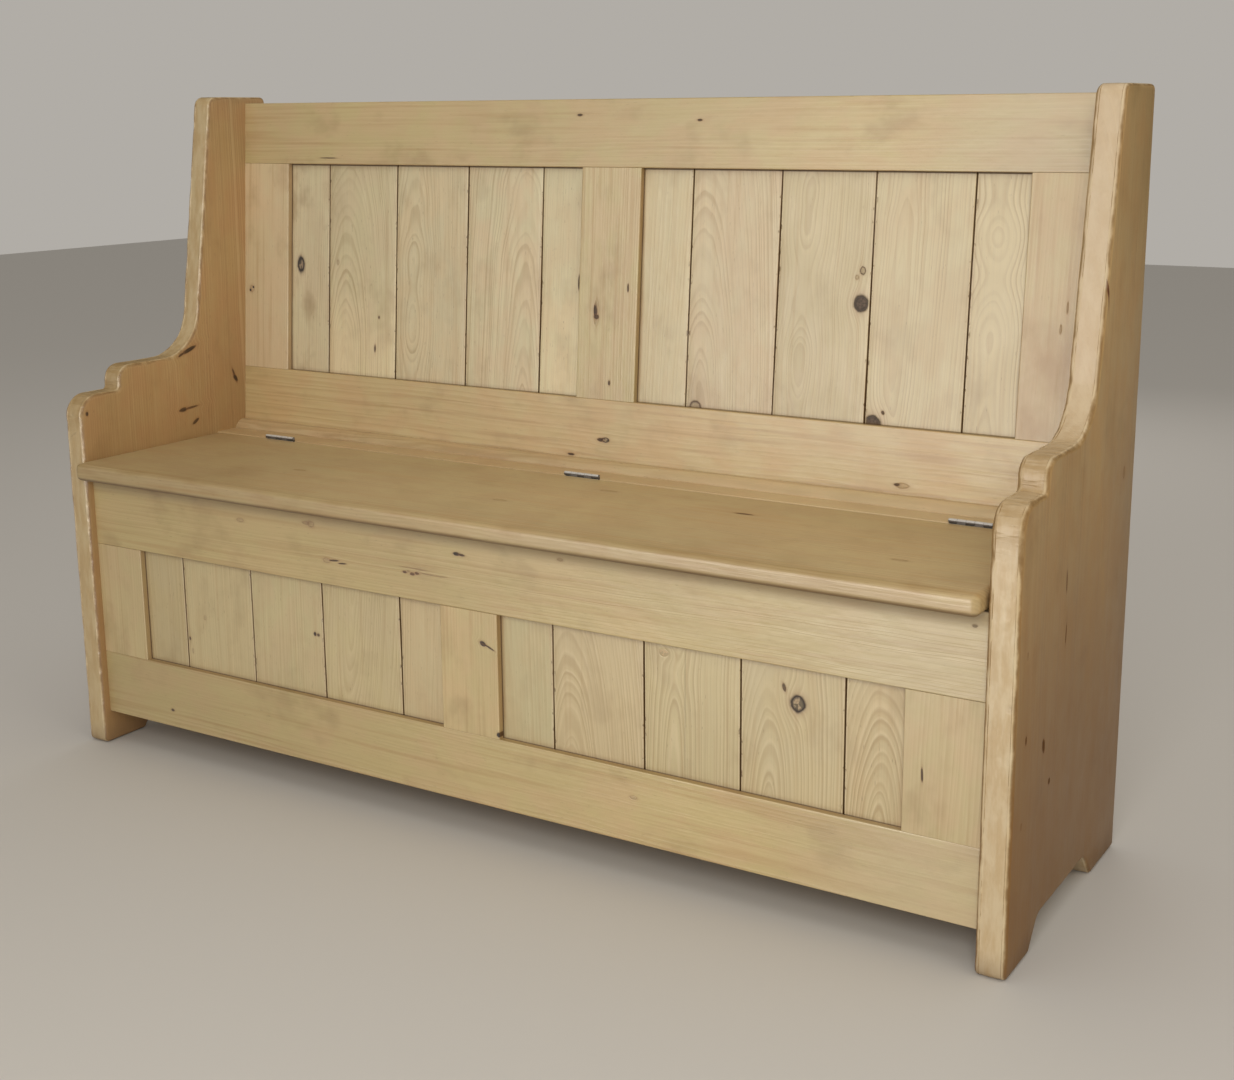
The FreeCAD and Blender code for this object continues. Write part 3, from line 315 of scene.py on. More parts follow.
RAKE = math.radians(4.375)
SLOPE = Vector((0.0, math.sin(RAKE), math.cos(RAKE)))
DEEP = Vector((0.0, math.cos(RAKE), -math.sin(RAKE)))
X, Y, Z = Vector((1, 0, 0)), Vector((0, 1, 0)), Vector((0, 0, 1))
BACK_AT = Vector((0.0, 0.1390, 0.45568))
# where millimetres are measured from, then the directions across, into and along a piece
AXES = {
    "front_v": (Vector((0, -0.190, 0)), X, Y, Z),
    "front_h": (Vector((0, -0.190, 0)), Z, Y, X),
    "back_v": (BACK_AT, X, DEEP, SLOPE),
    "back_h": (BACK_AT, SLOPE, DEEP, X),
    "end_r": (Vector((0.750, 0, 0)), Y, -X, Z),
    "end_l": (Vector((-0.7125, 0, 0)), Y, -X, Z),
    "flat": (Vector((0, 0, 0.454)), Y, -Z, X),
    "low": (Vector((0, 0.1435, 0)), Z, Y, X),
    "cross": (Vector((0, 0, 0.428)), X, -Z, Y),
    "side": (Vector((0, 0, 0)), Z, X, Y),
}


def wood(name, axes, pith, tilt=(0.0, 0.0), spacing=3.4, wobble=1.0, seed=0.0,
         contrast=0.5, light=(203, 177, 131), other=(206, 174, 136), late=(160, 122, 74),
         tone=0.16, knots=(), spots=(), paint=None, rough=0.46, bump=1.0, fleck=0.5,
         sawn=0.0, fibre=0.16, streak=0.22, soil=0.30, wave=0.0, shine=0.85,
         skin=None):
    """A pine material for one piece. paint(g, x, y, z, colour, p) adds what is its own."""
    mat = bpy.data.materials.new(name)
    mat.use_nodes = True
    tree = mat.node_tree
    tree.nodes.clear()
    g = Graph(tree)
    origin, across, into, along = AXES[axes]
    tc = g.new("ShaderNodeTexCoord")
    v = g.vmath("SUBTRACT", S(g, tc.outputs["Object"]), origin)
    x = g.vmath("DOT_PRODUCT", v, across * 1000.0)
    y = g.vmath("DOT_PRODUCT", v, into * 1000.0)
    z = g.vmath("DOT_PRODUCT", v, along * 1000.0)
    P = g.comb(x, y, z)
    bulge, marks = None, []
    for k, kn in enumerate(knots):
        kx, kz, a, b, ang, kind = kn[:6]
        lens, rise = (kn[6:8] if len(kn) > 7 else (0.55, 0.9 * min(a, 8.0)))
        reach = kn[8] if len(kn) > 8 else 2.3
        th = math.radians(ang)
        o = g.use(KNOT, P=P, X=float(kx), Z=float(kz), A=float(a), B=float(b),
                  Cos=math.cos(th), Sin=math.sin(th), Lens=lens, Rise=rise, Reach=reach,
                  Thick=KINDS[kind][5], Seed=seed * 3.7 + k * 1.93)
        P = o["P"]
        bulge = o["Bulge"] if bulge is None else bulge + o["Bulge"]
        marks.append((kind, o, a))
    ins = dict(P=P, PithX=float(pith[0]), PithY=float(pith[1]), TiltX=float(tilt[0]),
               TiltY=float(tilt[1]), Spacing=float(spacing), Wobble=float(wobble),
               Seed=float(seed), Wave=float(wave))
    if bulge is not None:
        ins["Bulge"] = bulge
    p = g.use(PINE, **ins)

    patch = g.smooth(p["Patch"], 0.34, 0.66)
    col = g.mixc(patch, lin(light), lin(other))
    ring = p["Ring"] * p["Strength"]
    pale = p["Pale"] * p["Strength"]
    col = g.mixc(g.math("MULTIPLY", ring, contrast, clamp=True), col, lin(late))
    col = g.mixc(g.math("MULTIPLY", pale, contrast * 0.55, clamp=True), col,
                 lin((232, 212, 170)))
    warm = g.smooth(p["Streak"], 0.52, 0.76) * streak
    col = g.mixc(warm, col, lin((178, 142, 92)))
    stain = g.smooth(p["Stain"], 0.50, 0.78) * soil
    col = g.mixc(stain, col, lin((154, 126, 82)))
    shade = 1.0 + (p["Fibre"] - 0.5) * fibre + (p["Tone"] - 0.5) * (2.0 * tone)
    col = g.vmath("SCALE", col, scale=shade)
    col = g.mixc(p["Fleck"] * fleck, col, lin((112, 80, 48)))
    height = ring * (0.07 * bump) - pale * (0.03 * bump) + p["Fibre"] * (0.10 * bump)
    dull = None
    skin_mask = g.fall(y, skin, skin + 2.0) if skin else None
    for kind, o, a in marks:
        if skin_mask is not None:
            # a mark in the face doesn't run on as a band across the edge
            o = dict(o, Core=o["Core"] * skin_mask, Rim=o["Rim"] * skin_mask,
                     Halo=o["Halo"] * skin_mask)
        core_c, core_s, rim_c, rim_s, halo_s = KINDS[kind][:5]
        col = g.mixc(o["Halo"] * halo_s, col, lin((148, 98, 56)))
        inner = g.smooth(o["Turn"], 0.42, 0.56)
        deep = 0.14 if kind in ("ringed", "eye") else 0.55
        cc = g.mixc(inner, lin(core_c), lin(core_c, deep))
        rings = g.math("SINE", o["Q"] * (7.0 + a * 0.9)) * 0.18 + 1.0
        cc = g.vmath("SCALE", cc, scale=rings)
        col = g.mixc(o["Core"] * core_s, col, cc)
        col = g.mixc(o["Rim"] * rim_s, col, lin(rim_c))
        height = height + o["Core"] * 0.12 - o["Rim"] * 0.22
        dull = o["Core"] * core_s if dull is None else g.math("MAXIMUM", dull,
                                                              o["Core"] * core_s)
        dull = g.math("MAXIMUM", dull, o["Rim"] * rim_s)
    gloss = rough + (p["Fibre"] - 0.5) * 0.12 + (p["Patch"] - 0.5) * 0.12 - ring * 0.04
    if dull is not None:
        gloss = gloss + dull * 0.40
    if sawn:
        # faint marks of the saw, across the grain
        w = g.noise(g.comb(x * 0.004, y * 0.01, z * 0.45 + seed), detail=1.0)
        height = height + w * (0.35 * sawn)
        gloss = gloss + 0.18 * sawn
        col = g.vmath("SCALE", col, scale=(w - 0.5) * (0.24 * sawn) + 1.0)
    for flat, c1, c2, a, b, ang, ink, strength, lim in spots:
        # a mark on an edge: (y, z) or (x, y) of this piece, kept to one side of lim
        e, w = (y, z) if flat == "yz" else (x, y)
        th = math.radians(ang)
        de, dw = e - c1, w - c2
        u = (de * math.cos(th) + dw * math.sin(th)) / a
        v = (dw * math.cos(th) - de * math.sin(th)) / b
        q = g.math("SQRT", u * u + v * v) + (p["Patch"] - 0.5) * 0.6
        side = g.fall(x if flat == "yz" else z, lim, lim + 3.0)
        m = g.fall(q, 0.6, 1.15) * side
        col = g.mixc(m * strength, col, lin(ink))
        height = height - m * 0.3
    if paint is not None:
        col, height, gloss = paint(g, x, y, z, col, height, gloss, p)
    # shallow dents and the slow waves that planing by hand leaves
    dent = g.noise(g.comb(x * 0.045 + seed, y * 0.045, z * 0.020), detail=2.0)
    height = height + dent * (0.85 * bump)
    b = g.new("ShaderNodeBump")
    b.inputs["Strength"].default_value = 1.0
    b.inputs["Distance"].default_value = 0.001
    g.put(b.inputs["Height"], height)
    bsdf = g.new("ShaderNodeBsdfPrincipled")
    g.put(bsdf.inputs["Base Color"], col)
    g.put(bsdf.inputs["Roughness"], g.math("ADD", gloss, 0.0, clamp=True))
    # a thin skin of old wax
    bsdf.inputs["Specular IOR Level"].default_value = shine
    tree.links.new(b.outputs["Normal"], bsdf.inputs["Normal"])
    o = g.new("ShaderNodeOutputMaterial")
    tree.links.new(bsdf.outputs["BSDF"], o.inputs["Surface"])
    return mat


def metal(name, colour, rough, axis_scale, seed, rust=0.25, metallic=0.8,
          grime_and_shade=None):
    mat = bpy.data.materials.new(name)
    mat.use_nodes = True
    tree = mat.node_tree
    tree.nodes.clear()
    g = Graph(tree)
    tc = g.new("ShaderNodeTexCoord")
    v = g.vmath("MULTIPLY", S(g, tc.outputs["Object"]), axis_scale)
    v = g.vmath("ADD", v, (seed, seed * 2.1, seed * 3.7))
    brushed = g.noise(v, detail=3.0, rough=0.6)
    spots = g.noise(g.vmath("MULTIPLY", S(g, tc.outputs["Object"]), (420, 420, 420)),
                    detail=3.0, rough=0.6)
    spot = g.smooth(spots, 0.56, 0.72)
    col = g.mixc(g.smooth(brushed, 0.3, 0.7), lin(colour), lin(colour, 0.84))
    col = g.mixc(spot * rust, col, lin((96, 74, 56)))
    if grime_and_shade:
        # rubbed on top, dull and dirty where it goes down into the wood; the sides and underside
        # are darker also as painted shade
        up = g.sep(S(g, tc.outputs["Normal"]))[2]
        col = g.mixc(g.fall(up + (spots - 0.5) * 0.3, 0.14, 0.48) * 0.88, col, lin(grime_and_shade))
    bsdf = g.new("ShaderNodeBsdfPrincipled")
    g.put(bsdf.inputs["Base Color"], col)
    bsdf.inputs["Metallic"].default_value = metallic
    g.put(bsdf.inputs["Roughness"], rough + (brushed - 0.5) * 0.2 + spot * 0.2)
    b = g.new("ShaderNodeBump")
    b.inputs["Strength"].default_value = 1.0
    b.inputs["Distance"].default_value = 0.0001
    g.put(b.inputs["Height"], brushed * 0.4 + spots * 0.2)
    tree.links.new(b.outputs["Normal"], bsdf.inputs["Normal"])
    o = g.new("ShaderNodeOutputMaterial")
    tree.links.new(bsdf.outputs["BSDF"], o.inputs["Surface"])
    return mat


def dress(obj, mat):
    """Gives an object this one material."""
    if not obj.material_slots:
        obj.data.materials.append(mat)
    for s in obj.material_slots:
        s.material = mat


GAP_DIRT_AND_SHADE = (88, 56, 18)
BROWN = (104, 74, 44)


# ------------------------------------------------------------- matched boards
# In a panel's own millimetres: the opening's two sides, then the joints between boards,
# each with its place, its width low down and its width high up.
PANELS = {
    "front_left": ("front_v", (-620.5, -50.5), (149.5, 322.3), 8.0,
                   [(-540.5, 1.6, 1.0), (-403.5, 0.9, 1.2), (-267.3, 1.8, 1.3),
                    (-127.0, 2.1, 2.5)]),
    "front_right": ("front_v", (43.5, 614.5), (149.5, 322.3), 8.0,
                    [(125.6, 0.9, 1.3), (263.0, 2.3, 1.9), (400.0, 1.8, 2.2),
                     (538.0, 1.8, 1.6)]),
    "back_left": ("back_v", (-617.4, -49.4), (99.4, 433.1), 8.0,
                  [(-537.0, 1.7, 1.7), (-398.6, 2.0, 2.1), (-260.6, 1.7, 2.2),
                   (-122.8, 2.6, 1.1)]),
    "back_right": ("back_v", (50.5, 617.6), (99.4, 433.1), 8.0,
                   [(131.0, 1.1, 1.5), (268.6, 1.1, 1.4), (406.3, 1.8, 1.0),
                    (543.6, 1.3, 1.3)]),
}
FACE = 9.6           # how far the boards' face lies behind the frame's
THICK = 9.0
STATIONS = 25


def gap_width(k, t, seed):
    """The width of a joint between two boards, at t from 0 low down to 1 high up."""
    c, w0, w1 = k
    wave = 0.22 * math.sin(5.1 * t + seed) + 0.14 * math.sin(11.3 * t + 2.7 * seed)
    return min(3.2, max(0.5, w0 + (w1 - w0) * t + wave))


def gap_centre(k, t, seed):
    return k[0] + 0.22 * math.sin(3.3 * t + 1.7 * seed)


def board(name, axes, left, right, z0, z1, lk, rk, lseed, rseed, seed):
    """A matched board: a tongue on its right edge, a slot in its left, arrises worn
    round, edges that aren't quite straight and a face that is slightly cupped."""
    origin, across, into, along = AXES[axes]
    rng = random.Random(seed)
    cup = rng.uniform(-0.30, 0.30)
    twist = rng.uniform(-0.15, 0.15)
    rings = []
    cols = 12
    for s in range(STATIONS):
        t = s / (STATIONS - 1)
        zz = z0 + (z1 - z0) * t
        if lk:
            a = gap_centre(lk, t, lseed) + gap_width(lk, t, lseed) / 2
        else:
            a = left
        if rk:
            c = gap_centre(rk, t, rseed) - gap_width(rk, t, rseed) / 2
        else:
            c = right
        wear_l = 0.9 + 0.45 * math.sin(6.1 * t + lseed * 2.0) if lk else 0.3
        wear_r = 0.9 + 0.45 * math.sin(7.3 * t + rseed * 2.3) if rk else 0.3
        pts = []
        arc = [(1 - math.cos(q), 1 - math.sin(q)) for q in
               [math.pi / 2 * j / 4 for j in range(5)]]
        # round the left arris, over the face, and round the right one
        for ax, ay in arc[:-1]:
            pts.append((a + wear_l * ax, wear_l * ay))
        for j in range(cols + 1):
            u = j / cols
            xx = (a + wear_l) + (c - wear_r - a - wear_l) * u
            e = 1 - (2 * u - 1) ** 2
            yy = -cup * e * 0.8 + 0.15 * twist * (2 * u - 1) * (2 * t - 1) * e
            pts.append((xx, yy))
        for ax, ay in reversed(arc[:-1]):
            pts.append((c - wear_r * ax, wear_r * ay))
        if rk:
            tip = rk[0] + 3.8
            pts += [(c, 3.0), (tip - 0.3, 3.0), (tip, 3.3), (tip, 5.7), (tip - 0.3, 6.0),
                    (c, 6.0)]
        pts += [(c, THICK - 0.5), (c - 0.5, THICK)]
        pts += [(a + 0.5, THICK), (a, THICK - 0.5)]
        if lk:
            deep = lk[0] + 4.4
            pts += [(a, 6.2), (deep, 6.2), (deep, 2.8), (a, 2.8)]
        rings.append((zz, pts))
    verts, faces = [], []
    n = len(rings[0][1])
    for zz, pts in rings:
        for px, py in pts:
            w = origin + (across * px + into * (py + FACE) + along * zz) / 1000.0
            verts.append(w)
    for s in range(STATIONS - 1):
        for j in range(n):
            k = (j + 1) % n
            faces.append((s * n + j, s * n + k, (s + 1) * n + k, (s + 1) * n + j))
    faces.append(tuple(reversed(range(n))))
    faces.append(tuple((STATIONS - 1) * n + j for j in range(n)))
    me = bpy.data.meshes.new(name)
    me.from_pydata([tuple(v) for v in verts], [], faces)
    bm = bmesh.new()
    bm.from_mesh(me)
    bmesh.ops.recalc_face_normals(bm, faces=bm.faces)
    bm.to_mesh(me)
    bm.free()
    me.polygons.foreach_set("use_smooth", [True] * len(me.polygons))
    me.set_sharp_from_angle(angle=math.radians(32))
    me.update()
    ob = bpy.data.objects.new(name, me)
    bpy.context.scene.collection.objects.link(ob)
    return ob


# how each board was cut: pith, tilt, ring spacing, wobble, contrast, knots
BOARDS = {
    "back_left_board_1": dict(pith=(-700, 60), tilt=(0.03, 0.02), spacing=4.2,
                              contrast=0.32, soil=0.6,
                              knots=[(-598.2, 272.0, 6.2, 10.5, 4, "eye", 0.6, 5.0)]),
    "back_left_board_2": dict(pith=(-506, -8), tilt=(0.02, 0.190), wave=16, spacing=4.4,
                              contrast=0.62, wobble=0.9,
                              knots=[(-519.2, 278.3, 2.2, 3.4, 0, "faint"),
                                     (-440.6, 145.1, 1.8, 6.5, 0, "crack"),
                                     (-433.1, 194.9, 1.6, 2.4, 0, "pin")]),
    "back_left_board_3": dict(pith=(-368, 22), tilt=(0.01, 0.02), wave=70, spacing=4.4,
                              contrast=0.56, wobble=0.9),
    "back_left_board_4": dict(pith=(-152, 2), tilt=(0.0, 0.140), wave=30, spacing=4.6,
                              contrast=0.56, wobble=1.1),
    "back_left_board_5": dict(pith=(-170, 30), tilt=(0.04, 0.02), spacing=4.6,
                              contrast=0.26,
                              knots=[(-55.8, 267.0, 1.8, 11.0, 0, "crack", 0.3, 1.0)]),
    "back_right_board_1": dict(pith=(20, 50), tilt=(0.05, 0.02), spacing=4.6,
                               contrast=0.34),
    "back_right_board_2": dict(pith=(152, -4), tilt=(0.0, 0.170), wave=14, spacing=4.6,
                               contrast=0.60, wobble=0.8,
                               knots=[(146.6, 100.5, 8.5, 8.0, 0, "ring", 0.5, 4.0)]),
    "back_right_board_3": dict(pith=(302, 20), tilt=(0.02, 0.03), wave=64, spacing=4.6,
                               contrast=0.52, wobble=1.0,
                               knots=[(393.0, 259.2, 9.5, 10.5, 0, "dark", 0.6, 7.0),
                                      (393.4, 302.8, 3.6, 5.0, 0, "ring", 0.5, 1.5),
                                      (386.7, 293.6, 2.4, 3.0, 0, "faint", 0.5, 1.0)]),
    "back_right_board_4": dict(pith=(440, 18), tilt=(0.03, 0.0), wave=84, spacing=4.8,
                               contrast=0.72, wobble=1.0,
                               knots=[(417.9, 101.0, 11, 10, 0, "dark", 0.6, 6.0),
                                      (428.6, 116.3, 2.0, 2.6, 0, "pin")]),
    "back_right_board_5": dict(pith=(571, 20), tilt=(0.01, 0.05), wave=80, spacing=4.6,
                               contrast=0.66, wobble=0.9),
    "front_left_board_1": dict(pith=(-660, 60), tilt=(0.03, 0.03), spacing=4.2,
                               contrast=0.28),
    "front_left_board_2": dict(pith=(-380, 50), tilt=(-0.02, 0.03), spacing=4.2,
                               contrast=0.34,
                               knots=[(-536.0, 195.0, 2.0, 2.6, 0, "pin", 0.5, 1.0),
                                      (-531.0, 176.0, 1.4, 3.6, 0, "faint", 0.5, 1.0),
                                      (-501.6, 232.1, 2.2, 3.0, 0, "faint")]),
    "front_left_board_3": dict(pith=(-430, 60), tilt=(0.02, -0.03), spacing=4.2,
                               contrast=0.28,
                               knots=[(-284.1, 241.7, 2.2, 2.6, 0, "black"),
                                      (-278.6, 241.2, 3.0, 2.2, 0, "pin")]),
    "front_left_board_4": dict(pith=(-242, 46), tilt=(0.10, -0.12), wave=24, spacing=4.6,
                               contrast=0.46, wobble=1.1),
    "front_left_board_5": dict(pith=(-20, 50), tilt=(0.04, 0.03), spacing=4.2,
                               contrast=0.28),
    "front_right_board_1": dict(pith=(20, 60), tilt=(0.02, 0.05), spacing=4.4,
                                contrast=0.32),
    "front_right_board_2": dict(pith=(156, -14), tilt=(-0.02, 0.220), wave=10,
                                spacing=4.4, contrast=0.58, wobble=0.8),
    "front_right_board_3": dict(pith=(302, 12), tilt=(0.02, 0.030), wave=50, spacing=4.6,
                                contrast=0.62, wobble=0.9,
                                knots=[(292.0, 309.0, 7.0, 5.0, 0, "pink"),
                                       (322.0, 236.0, 0.8, 86.0, 0, "thin", 0.0, 0.0)]),
    "front_right_board_4": dict(pith=(434, -12), tilt=(0.03, 0.180), wave=10,
                                spacing=4.6, contrast=0.62, wobble=0.9,
                                knots=[(476.6, 275.8, 8.6, 9.4, 0, "ringed", 0.6, 9.0, 2.8),
                                       (461.8, 293.2, 2.2, 5.5, 28, "pin")]),
    "front_right_board_5": dict(pith=(580, -18), tilt=(0.02, 0.230), wave=12,
                                spacing=4.4, contrast=0.72, wobble=0.8),
}


# boards a little lighter or darker than their neighbours
LIFT = {"back_left_board_1": 6, "back_left_board_2": 4, "back_left_board_3": 3,
        "back_left_board_4": 6, "back_left_board_5": 4, "back_right_board_2": -1,
        "back_right_board_3": -8, "back_right_board_4": -2, "front_left_board_1": -6,
        "front_right_board_1": -2, "front_right_board_5": -6}


# boards that grow lighter downwards
LEAN = {"back_left_board_2": (-0.05, 0.15), "back_left_board_5": (-0.03, 0.13)}


def board_paint(left, right, low, high, lk, rk, lean=None):
    def paint(g, x, y, z, col, height, gloss, p):
        if lean:
            col = g.vmath("SCALE", col, scale=g.smooth(z, 130.0, 330.0, 1.0 + lean[1],
                                                       1.0 + lean[0]))
        d = y - FACE
        inside = g.smooth(d, 0.8, 2.2) * g.fall(d, 6.8, 8.4)
        a = g.math("ABSOLUTE", x - left)
        c = g.math("ABSOLUTE", right - x)
        face = g.fall(d, 0.6, 1.6)
        wave = p["Streak"] * 0.8 + p["Patch"] * 0.8
        # brown, worn and chipped edges, and a pale rubbed arris that is wear and a painted
        # highlight
        chips = g.noise(g.comb(x * 0.22, z * 0.085, left * 0.1), detail=2.0, rough=0.6)
        for e, joint in ((a, lk), (c, rk)):
            col = g.mixc(g.fall(e, 0.8, 6.5) * g.smooth(wave, 0.62, 1.0) * 0.55, col,
                         lin((150, 114, 66)))
            if joint:
                rub = g.smooth(e, 1.2, 1.9) * g.fall(e, 2.3, 3.6) * face
                col = g.mixc(rub * 0.50, col, lin((234, 216, 174)))
                dark = g.fall(e, 0.9, 1.8) * 0.66
                chip = g.fall(e, 1.2, 4.2) * g.smooth(chips, 0.60, 0.68) * 0.8
                col = g.mixc(g.math("MAXIMUM", dark, chip), col, lin((92, 62, 18)))
                height = height - chip * 0.5
        # painted shade near the top and bottom of the opening and beside the stiles, and a dark
        # line of dust, old wax and painted shadow where the face runs into the frame
        top = g.smooth(z, high - 2.6, high - 0.9)
        shade = g.smooth(z, high - 11.0, high) * 0.22 + g.fall(z, low, low + 8.0) * 0.20
        bottom = g.fall(z, low + 0.3, low + 1.6)
        dirt_and_shadow_line = g.math("MAXIMUM", top * 0.92, bottom * 0.60)
        for joint, e in ((lk, x - left), (rk, right - x)):
            if not joint:
                dirt_and_shadow_line = g.math("MAXIMUM", dirt_and_shadow_line, g.fall(e, 0.4, 2.0) * 0.74)
                shade = shade + g.fall(e, 0.0, 7.0) * 0.14
        col = g.mixc(g.math("MULTIPLY", shade, p["Patch"] + 0.6, clamp=True), col,
                     lin((132, 98, 56)))
        col = g.mixc(dirt_and_shadow_line * g.fall(d, 3.0, 6.0), col, lin((84, 56, 20)))
        # the sides of the joints below the face painted dark brown: dirt and painted shade
        col = g.mixc(inside * 0.94, col, lin(GAP_DIRT_AND_SHADE))
        gloss = gloss + inside * 0.45 + dirt_and_shadow_line * 0.40
        return col, height, gloss
    return paint


def tint(rng, base, spread):
    return tuple(min(255, max(0, v + rng.uniform(-spread, spread))) for v in base)


count = 0
for panel, (axes, (x0, x1), (low, high), tuck, joints) in PANELS.items():
    ends = [None] + joints + [None]
    for b in range(5):
        name = "%s_board_%d" % (panel, b + 1)
        count += 1
        lk, rk = ends[b], ends[b + 1]
        left = x0 - tuck if lk is None else lk[0]
        right_x = x1 + tuck if rk is None else rk[0]
        piece = board(name + "_face", axes, left, right_x, low - tuck, high + tuck,
                      lk, rk, count * 1.0, count + 1.0, 40 + count)
        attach(piece, "frame")
        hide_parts(name)
        rng = random.Random(900 + count)
        spec = dict(BOARDS[name])
        vis_l = x0 if lk is None else lk[0]
        vis_r = x1 if rk is None else rk[0]
        back = axes == "back_v"
        light = tint(rng, (213, 198, 158) if back else (204, 186, 141), 2)
        other = tint(rng, (213, 195, 155) if back else (204, 183, 138), 2)
        lift = LIFT.get(name, 0)
        light = tuple(v + lift for v in light)
        other = tuple(v + lift for v in other)
        mat = wood(name, axes, seed=1.0 + count * 0.37,
                   light=light, other=other, late=(172, 144, 98), tone=0.10,
                   paint=board_paint(vis_l, vis_r, low, high, lk, rk, LEAN.get(name)),
                   rough=0.47, **spec)
        dress(piece, mat)


# ------------------------------------------------------- rails, stiles, muntins
def frame_paint(edges, hidden_from=20.6, lid_shadow_at=None, lean=0.0, drift=None,
                sheen_grey=None):
    """edges are the sides of the openings, across this piece, which get painted shade on
    the side faces and a dark line of dirt and painted shade in the corner. lean makes the
    piece lighter towards one end, a painted light gradient, drift browner between two
    heights and the grey given last greyer at the right end, a painted sheen."""
    def paint(g, x, y, z, col, height, gloss, p):
        if lean:
            # lighter towards the right end: a painted light gradient
            col = g.vmath("SCALE", col, scale=1.0 + z * (lean / 700.0))
        if drift:
            brown = g.smooth(z, drift[0], drift[0] + 60.0) * g.fall(z, drift[1], drift[2])
            col = g.mixc(brown * g.smooth(p["Stain"], 0.30, 0.66) * 0.66, col,
                         lin((176, 142, 94)))
        if sheen_grey:
            # greyer towards the right end: a painted sheen
            col = g.mixc(g.smooth(z, 420.0, 640.0) * 0.35, col, lin(sheen_grey))
        mask = None
        for e in edges:
            m1 = g.fall(g.math("ABSOLUTE", x - e), 0.6, 2.6)
            mask = m1 if mask is None else g.math("MAXIMUM", mask, m1)
        # the side faces of the openings painted darker as painted shade, a dark line of dirt and
        # painted shade in their corner with the boards, and a darker line along the arris
        if mask is not None:
            side = mask * g.smooth(y, 0.8, 2.0) * g.fall(y, 17.5, 21.0)
            col = g.mixc(side * 0.42, col, lin((140, 100, 54)))
            corner_dirt_and_shade = mask * g.smooth(y, 7.6, 9.0)
            col = g.mixc(corner_dirt_and_shade * 0.80, col, lin((84, 56, 20)))
            gloss = gloss + side * 0.25 + corner_dirt_and_shade * 0.3
            arris = mask * g.smooth(y, 0.25, 0.8) * g.fall(y, 1.2, 2.2)
            col = g.mixc(arris * 0.30, col, lin((96, 66, 34)))
        # a painted shadow under the lid's nose: a dark line just below it and a wider band of
        # painted shade beneath
        if lid_shadow_at is not None:
            line = g.smooth(x, lid_shadow_at - 2.4, lid_shadow_at - 0.6) * g.fall(y, 2.0, 4.0)
            lid_shade_band = g.smooth(x, lid_shadow_at - 27.0, lid_shadow_at - 9.0)
            col = g.mixc(lid_shade_band * 0.34, col, lin((110, 78, 38)))
            col = g.mixc(line * 0.80, col, lin((66, 44, 22)))
            gloss = gloss + lid_shade_band * 0.3
        back = g.smooth(y, hidden_from, hidden_from + 1.0)
        col = g.mixc(back * 0.35, col, lin((158, 134, 98)))
        gloss = gloss + back * 0.15
        return col, height, gloss
    return paint


